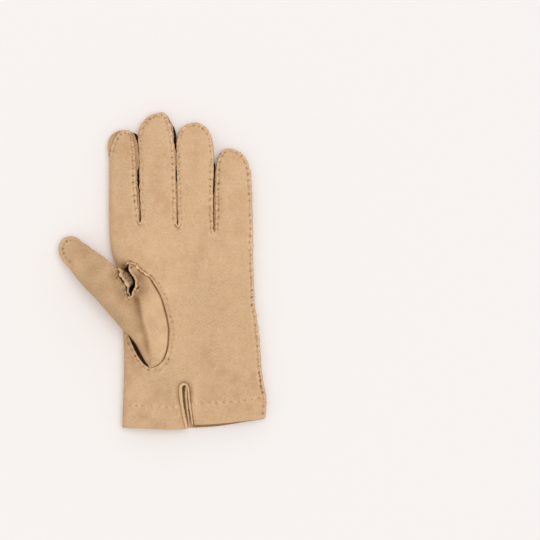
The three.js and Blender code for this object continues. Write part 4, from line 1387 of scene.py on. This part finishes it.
for node, begin, end, overhang in FOURCHETTES:
    line = palm_loop[:, :2]
    i0 = int(np.argmin(np.linalg.norm(line - begin, axis=1)))
    i1 = int(np.argmin(np.linalg.norm(line - end, axis=1)))
    span = np.arange(i0, i1 + 1)
    p, nrm = line[span], normals_of(palm_loop)[span]
    ze = palm_loop[span, 2]
    top_of = palm_rim_z(span)
    low_of = back_edge_height(ze) + LEATHER
    high = np.minimum(top_of, ze) - LEATHER - 0.08
    low = low_of + 0.08
    gap = np.maximum(high - low, 0.12)
    t = np.minimum(0.72, gap * 0.42)
    s = path(p)
    seam = Seam(s[-1], 60 + i0)
    ov = np.interp(np.arange(len(p)), *zip(*sorted((int(np.argmin(np.linalg.norm(p - (x, y), axis=1))), o) for x, y, o in overhang)))
    out = ov + seam.wander(s, 0.2) * 0.5
    zt, zb = high - t / 2, low + t / 2
    tall = np.maximum(zt - zb, 0.02)
    deep = 2.7 * np.clip(tall / 4, 0.35, 1)
    r = np.minimum(1.0, tall / 2 * 0.98)
    body = Body()
    # the middle line of its section, from the upper raw edge to the lower one
    mids = [(-out * k, zt) for k in (1.0, 0.55, 0.1)]
    for a in np.linspace(0, math.pi / 2, 5):
        mids.append((deep - r + r * math.sin(a), zt - r + r * math.cos(a)))
    for u in (0.25, 0.5, 0.75):
        mids.append((deep + 0.35 * math.sin(math.pi * u), (zt - r) * (1 - u) + (zb + r) * u))
    for a in np.linspace(0, math.pi / 2, 5):
        mids.append((deep - r + r * math.cos(a), zb + r - r * math.sin(a)))
    for k in (0.1, 0.55, 1.0):
        mids.append((-0.15 * k * np.ones(len(p)), zb))
    M = np.array([np.c_[m[0] * np.ones(len(p)), m[1] * np.ones(len(p))] for m in mids])  # (points, along, 2)
    T = np.gradient(M, axis=0)
    T /= np.maximum(np.linalg.norm(T, axis=2), 1e-9)[:, :, None]
    Nn = np.stack([-T[:, :, 1], T[:, :, 0]], 2)
    half = (t / 2)[None, :, None]
    A, B = M + Nn * half, M - Nn * half
    cap0 = M[:1] - T[:1] * half * 0.7
    cap1 = M[-1:] + T[-1:] * half * 0.7
    ring = np.concatenate([A, cap1, B[::-1], cap0])  # (around, along, 2)
    n_ring = len(ring)
    ids = []
    for j in range(len(p)):
        nz = ring[:, j]
        xyz = np.c_[p[j] + nrm[j] * nz[:, :1], nz[:, 1]]
        # painted shade deepening into the fourchette's fold, with its raw edge along the top lighter
        shade = -0.25 * np.clip(nz[:, 0] / 2.4, 0, 1) * min(1, tall[j] / 3)
        tone = shade - 0.12 + 0.16 * waves(xyz[:, :2], 2.6, 97) + 0.3 * bell((nz[:, 0] + out[j]) / 0.5) * (nz[:, 1] > (zt[j] + zb[j]) / 2)
        ids.append(body.points(xyz, tone))
    for j in range(len(p) - 1):
        body.strip(ids[j], ids[j + 1], closed=True)
    for e, flip in ((0, True), (-1, False)):
        c = body.points(body.at(ids[e]).mean(0)[None], 0)
        for k in range(n_ring):
            f = (int(ids[e][k]), int(ids[e][(k + 1) % n_ring]), int(c[0]))
            body.f.append(f[::-1] if flip else f)
    body.make(node + "_suede", SHADED_SUEDE, node, "suede_side")

# ------------------------------------------------------------------- the thumb
t_fold = through(THUMB_FOLD + [THUMB_TIP[0]])[:-1]
t_tip = through([tuple(t_fold[-1])] + THUMB_TIP + [THUMB_LEFT_LIP[0]])
t_left = through(THUMB_LEFT_LIP)
t_right = through([THUMB_LEFT_LIP[-1]] + THUMB_RIGHT_LIP)
t_rim = through([THUMB_RIGHT_LIP[-1]] + THUMB_RIM + [THUMB_FOLD[0]])
upper_loop = np.vstack([t_fold, t_tip[1:], t_left[1:], t_right[1:], t_rim[1:-1]])
n_tf = len(t_fold)
tip_edge = Edge(t_tip)
left_edge = Edge(t_left)
right_edge = Edge(t_right)
upper_edge = Edge(upper_loop, True)
tip_seam = Seam(tip_edge.length, 71, 4.7, 3.2)
left_seam = Seam(left_edge.length, 72, 4.4, 1.6)
right_seam = Seam(right_edge.length, 73, 4.2, 1.6)
T_ROLL = 3.0
t_crease = Edge(through([(x, y, 0) for x, y in THUMB_CREASE]))
lobe_area = np.vstack([t_crease.line[:, :2], [(-9.0, -78), (20, -78), (20, 12), (-22, 12)]])


def up_profile(q, d, row):
    border = 1.2 * row[:, 4] * smooth((-58 - q[:, 0]) / 8)
    return 1 - (1 - np.clip(np.maximum(d - border, 0) / (row[:, 3] - border), 0, 1)) ** 2.3


t_base = Drape(upper_loop[::7][:, :3])


def thumb_start(q):
    d, s, row = upper_edge.foot(q)
    folded = np.where(s < upper_edge.s[n_tf + 6], 1 - smooth(row[:, 4]), 0)
    return d, s, row, folded, t_base(q) + folded * roll(d, T_ROLL) * 0.8


crown = np.array(THUMB_CROWN)
d, s, row, folded, start = thumb_start(crown)
t_rise = Drape(np.c_[crown[:, :2], (crown[:, 2] - start) / up_profile(crown, d, row)])


def shape_thumb(q, F=None):
    d, s, row, folded, start = thumb_start(q)
    z = start + np.maximum(t_rise(q), 0) * up_profile(q, d, row)
    z[d < 1e-3] = row[d < 1e-3, 2]
    if F is not None:
        z = relax(z, F, np.clip(1 - (d - 1.2) / 2.5, 0, 1), 10)
    free = smooth((d - 1) / 7)
    z += free * (0.32 * waves(q, 30, 81) + 0.11 * waves(q, 13, 82) + 0.03 * waves(q, 6, 83))
    dk, sk, _ = t_crease.foot(q)
    right = inside(q, lobe_area)
    k = smooth(sk / 5) * smooth((t_crease.length - sk) / 9)
    z -= 1.5 * k * bell(dk / np.where(right, 1.5, 3.0))
    # painted shade in the crease and over the tube left of it, painted light on the lobe right of it and towards the
    # tip
    tone = -0.42 * k * np.where(right, bell(dk / 1.0), bell(dk / 3.2))
    tone += np.where(right, 0.24 * smooth((dk - 0.8) / 2) * smooth(sk / 4), -0.28) + 0.3 * smooth((-64 - q[:, 0]) / 8)
    # painted shade either side of the V
    dv = np.minimum(left_edge.foot(q)[0], right_edge.foot(q)[0])
    tone -= bell((dv - 3) / 5) * smooth((2 - q[:, 1]) / 6) * np.where(right, 0.5, 0.3)
    # a line of painted shadow where the thumb runs under the hole's edge
    dh, _, rh = hole_edge.foot(q)
    line = 0.9 + 0.85 * smooth((0.75 - rh[:, 4]) / 0.3)
    tone -= line * bell(dh / 0.75) * smooth((q[:, 0] + 25) / 3) * np.where((q[:, 1] < -50) & (q[:, 0] < -9), 0, 1)
    tone += 0.06 * waves(q, 16, 87) + 0.04 * waves(q, 2.2, 88) * (1 + 2 * bell((dv - 1) / 1.5))
    dt, st, rt = tip_edge.foot(q)
    r, t = tip_seam.relief(dt, st, depth=0.5, crest=0.1, puff=0.14, dark=1.5, light=0.3)
    near = smooth((10 - dt) / 2) * rt[:, 4]
    dz = r * near * smooth((40 - st) / 8)
    tone += t * near * smooth((36 - st) / 8)
    along = smooth((st - 26) / 8) * rt[:, 4] * bell((dt - 0.7) / 0.6)
    dz += along * (0.1 + 0.25 * tip_seam.bumps(st))
    # lighter puffs along the seam; a thin line of painted shade along the tip's very edge
    tone += along * 0.25 * tip_seam.bumps(st) - 0.35 * rt[:, 4] * bell(dt / 0.45)
    dl, sl, _ = left_edge.foot(q)
    r, t = left_seam.relief(dl, sl, depth=0.35, crest=0.25, lip_at=0.9, puff=0.15, dark=0.5, light=0.25)
    dz, tone = dz + r, tone + t
    # a groove along the left lip, painted dark as shade
    dz -= 0.6 * bell(dl / 0.7)
    tone -= 1.2 * bell(dl / 0.6)
    dr, sr, _ = right_edge.foot(q)
    r, t = right_seam.relief(dr, sr, depth=0.45, crest=0.4, lip_at=0.7, puff=0.25, dark=0.7, light=0.5)
    dz, tone = dz + r, tone + t + 0.6 * bell((dr - 0.5) / 0.6)
    # puckers beside the lips, painted lighter on their crests and darker in their dips: painted light and shade
    pucker = waves(q, 3.0, 89) + 0.5 * waves(q, 1.6, 90)
    beside = np.maximum(bell((dr - 1.5) / 2.4), 0.8 * bell((dl - 1.5) / 1.8))
    dz, tone = dz + 0.16 * beside * pucker, tone + 0.22 * beside * pucker
    # painted shade from the listed patches, and darker by the top of the right lip
    tone += patches(q, THUMB_SHADE) - 0.3 * bell(np.hypot(q[:, 0] + 20.5, q[:, 1] + 1.5) / 4.5)
    return z, dz, tone, d, s, row, folded


thumb = Body()
uq, uF, uR = plan([upper_loop], spacing=1.05)
uz, udz, utone, ud, us, urow, ufold = shape_thumb(uq, uF)

# the lower sheet: rows across it, from the fold or the tip's edge to the seam behind
apex = n_tf + int(np.argmin(np.linalg.norm(t_tip[1:, :2] - (-80.0, 16.0), axis=1)))
A = upper_loop[: apex + 1, :3].copy()
layer = np.zeros(len(A))
layer[n_tf:] = np.clip((np.arange(len(A) - n_tf) + 1) / 10, 0, 1) * (2 * LEATHER + 0.06)
A[:, 2] -= layer
back_line = through(THUMB_BACK + [(THUMB_LEFT_LIP[0][0], THUMB_LEFT_LIP[0][1], THUMB_LEFT_LIP[0][2] - 2.0, 0, 0)])[:, :3]
seam_line = t_tip[::-1][: len(t_tip) - (apex - n_tf) - 1, :3].copy()
seam_line[:, 2] -= 2 * LEATHER + 0.06
sA = path(A)
turn = sA[int(np.argmin(np.linalg.norm(A[:, :2] - (-55.0, -18.0), axis=1)))]
sb, ss = path(back_line), path(seam_line)
u = np.where(sA <= turn, sA / turn, 1 + (sA - turn) / (sA[-1] - turn))
C = np.empty_like(A)
for k in range(3):
    first = np.interp(np.clip(u, 0, 1) * sb[-1], sb, back_line[:, k])
    second = np.interp(np.clip(u - 1, 0, 1) * ss[-1], ss, seam_line[:, k])
    C[:, k] = np.where(u <= 1, first, second)
NV = 22
lin = np.linspace(0, 1, NV + 1)
v = 0.45 * lin + 0.55 * (1 - np.cos(np.pi * lin)) / 2
sag = np.interp(A[:, 1], *np.array(SAG).T)
L0 = A[:, None, :] * (1 - v)[None, :, None] + C[:, None, :] * v[None, :, None]
belly = 1 - np.abs(2 * v - 1) ** 2.6
lips = smooth((-60 - A[:, 0]) / 8)[:, None]
close = smooth((v - 0.04) / 0.14)[None, :] * np.where(u[:, None] > 1, smooth((0.96 - v) / 0.14)[None, :], 1)
L0[:, :, 2] -= sag[:, None] * belly[None, :] * (1 - lips * smooth((u[:, None] - 1) / 0.2) * (1 - close))
L0 = L0.reshape(-1, 3).copy()
L0[:, 2] += smooth((np.repeat(sag, NV + 1) - 1) / 2) * np.tile(belly, len(A)) * (0.22 * waves(L0[:, :2], 15, 85) + 0.12 * waves(L0[:, :2], 7, 86))
# where the lower sheet shows in the gap under the thumb's fold it is painted near black: painted shadow
gap_side = np.repeat(smooth((-47 - A[:, 1]) / 3), NV + 1)
low_tone = -1.9 * gap_side * np.tile(smooth(v / 0.35), len(A))

# one set of points for both outer faces, welded along the fold
n_up, n_low = len(uq), len(L0)
low_index = np.arange(n_low).reshape(len(A), NV + 1) + n_up
low_index[:n_tf, 0] = uR[0][:n_tf]
low_index[-1, :] = low_index[-1, 0]
quads = []
for i in range(len(A) - 1):
    for k in range(NV):
        quads.append((low_index[i, k], low_index[i + 1, k], low_index[i + 1, k + 1], low_index[i, k + 1]))
quads = np.array(quads)
low_tri = np.vstack([quads[:, [0, 1, 2]], quads[:, [0, 2, 3]]])
low_tri = low_tri[(low_tri[:, 0] != low_tri[:, 1]) & (low_tri[:, 1] != low_tri[:, 2]) & (low_tri[:, 0] != low_tri[:, 2])]
base_pts = np.vstack([np.c_[uq, uz], L0])
all_tri = np.vstack([uF, low_tri])
nrm3 = mesh_normals(base_pts, all_tri)
outer_pts = base_pts.copy()
outer_pts[:n_up, 2] += udz
dt, st, rt = tip_edge.foot(uq)
wav = tip_seam.wander(st, 0.3) * np.clip(1 - dt / 2.6, 0, 1) * rt[:, 4]
dl, sl, _ = left_edge.foot(uq)
wav += (0.25 * left_seam.wander(sl, 0.8) - 0.1) * np.clip(1 - dl / 1.6, 0, 1)
dr, sr, _ = right_edge.foot(uq)
wav += (0.9 * right_seam.wander(sr, 0.25)) * np.clip(1 - dr / 1.6, 0, 1)
outer_pts[:n_up, :2] -= field_normals(upper_loop, uq) * wav[:, None]
inner_pts = base_pts - nrm3 * LEATHER
used = np.unique(all_tri)
remap = -np.ones(len(base_pts), int)
remap[used] = np.arange(len(used))
tones = np.r_[utone, low_tone]
TO = thumb.points(outer_pts[used], tones[used])
TI = thumb.points(inner_pts[used], -0.2)
thumb.faces(TO[remap[all_tri]])
thumb.faces(TI[remap[all_tri]][:, ::-1])
# its cut edges: every edge that only one face has
count = {}
for a, b, c in all_tri:
    for e in ((a, b), (b, c), (c, a)):
        count[e] = count.get(e, 0) + 1
nxt = {a: b for a, b in count if (b, a) not in count}
while nxt:
    a0 = next(iter(nxt))
    chain, b0 = [a0], nxt.pop(a0)
    while b0 != a0:
        chain.append(b0)
        b0 = nxt.pop(b0)
    chain = np.array(chain)
    P = outer_pts[chain]
    tang = np.roll(P, -1, 0) - np.roll(P, 1, 0)
    outward = np.cross(tang, nrm3[chain])
    outward /= np.maximum(np.linalg.norm(outward, axis=1), 1e-9)[:, None]
    last = TO[remap[chain]]
    for t in (1 / 3, 2 / 3):
        q = outer_pts[chain] * (1 - t) + inner_pts[chain] * t + outward * 0.15
        ids = thumb.points(q, 0.5)
        thumb.strip(last, ids, True, True)
        last = ids
    thumb.strip(last, TI[remap[chain]], True, True)
thumb.make("thumb_suede", SUEDE, "thumb", "suede")

# ------------------------------------------------------------------- the quirk
q_left = through(QUIRK_LEFT, 0.35)
q_right = through([QUIRK_LEFT[-1]] + QUIRK_RIGHT, 0.35)
q_top = through([QUIRK_RIGHT[-1]] + QUIRK_TOP + [QUIRK_LEFT[0]], 0.35)
q_loop = np.vstack([q_left, q_right[1:], q_top[1:-1]])
qe_left, qe_right, qe_top = Edge(q_left), Edge(q_right), Edge(q_top)
tongue = Edge(through([(x, y, 0) for x, y in TONGUE], 0.4))
tongue_area = np.vstack([tongue.line[:, :2], [(-27, -22), (-40, -20), (-40, 1.0)]])
quirk = Body()
qq, qF, qR = plan([q_loop], rows=[0.2, 0.45, 0.75, 1.1, 1.5], spacing=0.5)
dL, sL, rL = qe_left.foot(qq)
dR, sR, rR = qe_right.foot(qq)
dT, sT, rT = qe_top.foot(qq)
q_seam = Seam(qe_left.length, 91, 4.4, 1.0)
lipz = rL[:, 2]
slope = lipz - 0.15 - 0.9 * np.maximum(dL - 1.4, 0) - 0.03 * np.maximum(dL - 1.4, 0) ** 2
slope = np.maximum(slope, 13.0)
deep = 7.0
dt_, _, _ = tongue.foot(qq)
side = np.where(inside(qq, tongue_area), 1, -1) * dt_
w = smooth((side + 1.1) / 1.5)
z = deep * (1 - w) + (slope - 1.2 * bell(side / 1.2)) * w
edge_r = smooth(1 - dR / 1.7)
z = np.maximum(z, deep + (rR[:, 2] - deep) * edge_r)
z = np.where(dR < 0.25, rR[:, 2], z)
zt_ = smooth(1 - dT / 1.6)
z = z * (1 - zt_) + rT[:, 2] * zt_
z = np.where(dL < dT, z + (lipz - z) * smooth(1 - dL / 0.9), z)
z = relax(z, qF, np.clip(1 - (np.minimum(np.minimum(dL, dR), dT)) / 0.4, 0, 1), 3)
z += 0.25 * smooth(dL / 1.5) * waves(qq, 2.4, 95) * w + 0.4 * bell((dL - 0.7) / 0.6) * q_seam.bumps(sL) - 0.15 * bell((dL - 1.7) / 0.6)
# the quirk's raw lip is lighter, with a dark line at its very edge; beyond the lip it is painted darker as shade
# deepening into the crotch, and its hollow is painted near black as shadow
lower = smooth((-8 - qq[:, 1]) / 4)
qtone = (1.0 + 0.2 * lower) * bell((dL - 0.9) / (1.1 + 0.5 * lower)) * (0.65 + 0.35 * q_seam.bumps(sL)) - 0.5 * bell(dL / 0.35)
grain = 0.2 * waves(qq, 2.4, 95) + 0.12 * waves(qq, 1.3, 96)
qtone = np.where(dL < 2.8, qtone, 0) - (0.7 + 0.35 * smooth((dL - 3) / 4) - grain) * smooth((dL - 1.5) / 1.2)
hollow = smooth((0.6 - side) / 1.0) * smooth((dR - 0.3) / 0.5) * (0.3 + 0.7 * smooth((qq[:, 0] + 30.5) / 2.0))
qtone = qtone * (1 - hollow) - 1.9 * hollow
base_q = np.c_[qq, z]
nrm_q = mesh_normals(base_q, qF)
outer_q = base_q.copy()
outer_q[:, :2] -= field_normals(q_loop, qq) * ((q_seam.wander(sL, 0.5) - 0.15) * np.clip(1 - dL / 1.4, 0, 1))[:, None]
QO = quirk.points(outer_q, qtone)
QI = quirk.points(outer_q - nrm_q * 0.7, -0.3)
quirk.faces(QO[qF])
quirk.faces(QI[qF][:, ::-1])
rim(quirk, QO[qR[0]], QI[qR[0]], -normals_of(q_loop), np.full(len(q_loop), 0.1), rows=2, flip=True, tone=0.6)
quirk.make("thumb_quirk_suede", SHADED_SUEDE, "thumb_quirk", "suede_side")


# ----------------------------------------------------------------- the binding
def tube(body, rows, height, step=0.5, ring=18, seed=0, tone_top=0.15):
    line = through(rows, step)
    p = line[:, :3]
    t = np.gradient(p, axis=0)
    t[:, 2] = 0
    t /= np.maximum(np.linalg.norm(t, axis=1), 1e-9)[:, None]
    side = np.c_[t[:, 1], -t[:, 0], np.zeros(len(t))]
    s = path(line)
    half = line[:, 3] * (1 + 0.05 * waves(s, 9, seed)) + 0.05 * waves(s, 3.5, seed + 1)
    lift = 0.1 * waves(s, 11, seed + 2)
    ids = []
    a = np.linspace(0, 2 * math.pi, ring, endpoint=False)
    sx = np.sign(np.cos(a)) * np.abs(np.cos(a)) ** 0.8
    sz = np.sign(np.sin(a)) * np.abs(np.sin(a)) ** 0.75
    for j in range(len(p)):
        q = p[j] + side[j] * (sx * half[j])[:, None]
        q[:, 2] += sz * height / 2 + lift[j]
        # the binding painted lighter on top and darker underneath: painted light and shade
        ids.append(body.points(q, tone_top * np.clip(sz, 0, 1) - 0.25 * np.clip(-sz, 0, 1)))
    for j in range(len(p) - 1):
        body.strip(ids[j], ids[j + 1], closed=True, flip=True)
    for e, sign in ((0, -1), (-1, 1)):
        c = body.points((body.at(ids[e]).mean(0) + sign * t[e] * 0.35)[None], 0.2)
        for k in range(ring):
            f = (int(ids[e][k]), int(ids[e][(k + 1) % ring]), int(c[0]))
            body.f.append(f if e == 0 else f[::-1])


binding = Body()
tube(binding, BINDING, 2.3, seed=101)
# its folded strip painted a little darker on top: painted shade
tube(binding, BINDING_FOLD, 1.7, seed=105, tone_top=-0.1)
binding.make("vent_binding_suede", BIND, "vent_binding", "suede_binding")

# ------------------------------------------------------------------ the stitches
palm_top = trank.at(PO)
palm_surface = (palm_top, tree_of(palm_top))
thumb_top = thumb.at(TO[remap[np.arange(n_up)]])
thumb_surface = (thumb_top, tree_of(thumb_top))
threads = Threads(7)
threads.row(palm_side, palm_seam, 1, palm_surface, lambda r: r[4])
threads.row(hole_edge, hole_seam, -1, palm_surface, lambda r: r[4])
threads.row(hole_edge, hole_far_seam, -1, palm_surface, lambda r: float(r[4] < 0.45 and r[0] > -12))
threads.row(hem_line, hem_seam, 1, palm_surface, lambda r: float(-29 < r[0] < 12 or 24.5 < r[0] < 77))
threads.row(tip_edge, tip_seam, 1, thumb_surface, lambda r: float(r[4] > 0.5 and r[1] > 5 and r[0] < -69))
threads.body.make("stitches", THREAD)

# ------------------------------------------------------------------- the stage
floor = bpy.data.meshes.new("floor")
floor.from_pydata([(-3, -3, 0), (3, -3, 0), (3, 3, 0), (-3, 3, 0)], [], [(0, 1, 2, 3)])
floor_o = bpy.data.objects.new("floor", floor)
bpy.context.scene.collection.objects.link(floor_o)
paper = bpy.data.materials.new("paper")
paper.use_nodes = True
bsdf = paper.node_tree.nodes["Principled BSDF"]
bsdf.inputs["Base Color"].default_value = (0.93, 0.887, 0.863, 1)
bsdf.inputs["Roughness"].default_value = 0.9
bsdf.inputs["Specular IOR Level"].default_value = 0.0
floor.materials.append(paper)
floor_o.location.z = -0.0002

world = bpy.data.worlds.new("studio")
bpy.context.scene.world = world
world.use_nodes = True
world.node_tree.nodes["Background"].inputs[0].default_value = (1, 1, 1, 1)
world.node_tree.nodes["Background"].inputs[1].default_value = 0.7


# a very large softbox: a sun as wide as one
key = bpy.data.lights.new("key", "SUN")
key.energy = 1.02
key.angle = math.radians(48)
key_o = bpy.data.objects.new("key", key)
key_o.rotation_euler = Vector((-0.22, -0.1, -1)).to_track_quat("-Z", "Y").to_euler()
bpy.context.scene.collection.objects.link(key_o)

cam = bpy.data.cameras.new("camera")
cam.sensor_width = 36
cam.lens = 36 * 1.993 / 0.4158
cam.clip_start, cam.clip_end = 0.05, 20
cam_o = bpy.data.objects.new("camera", cam)
cam_o.location = (0.0824, 0.0008, 2.0)
cam_o.rotation_euler = (0, 0, 0)
bpy.context.scene.collection.objects.link(cam_o)
bpy.context.scene.camera = cam_o
bpy.context.scene.view_settings.view_transform = "Standard"
bpy.context.scene.view_settings.look = "None"
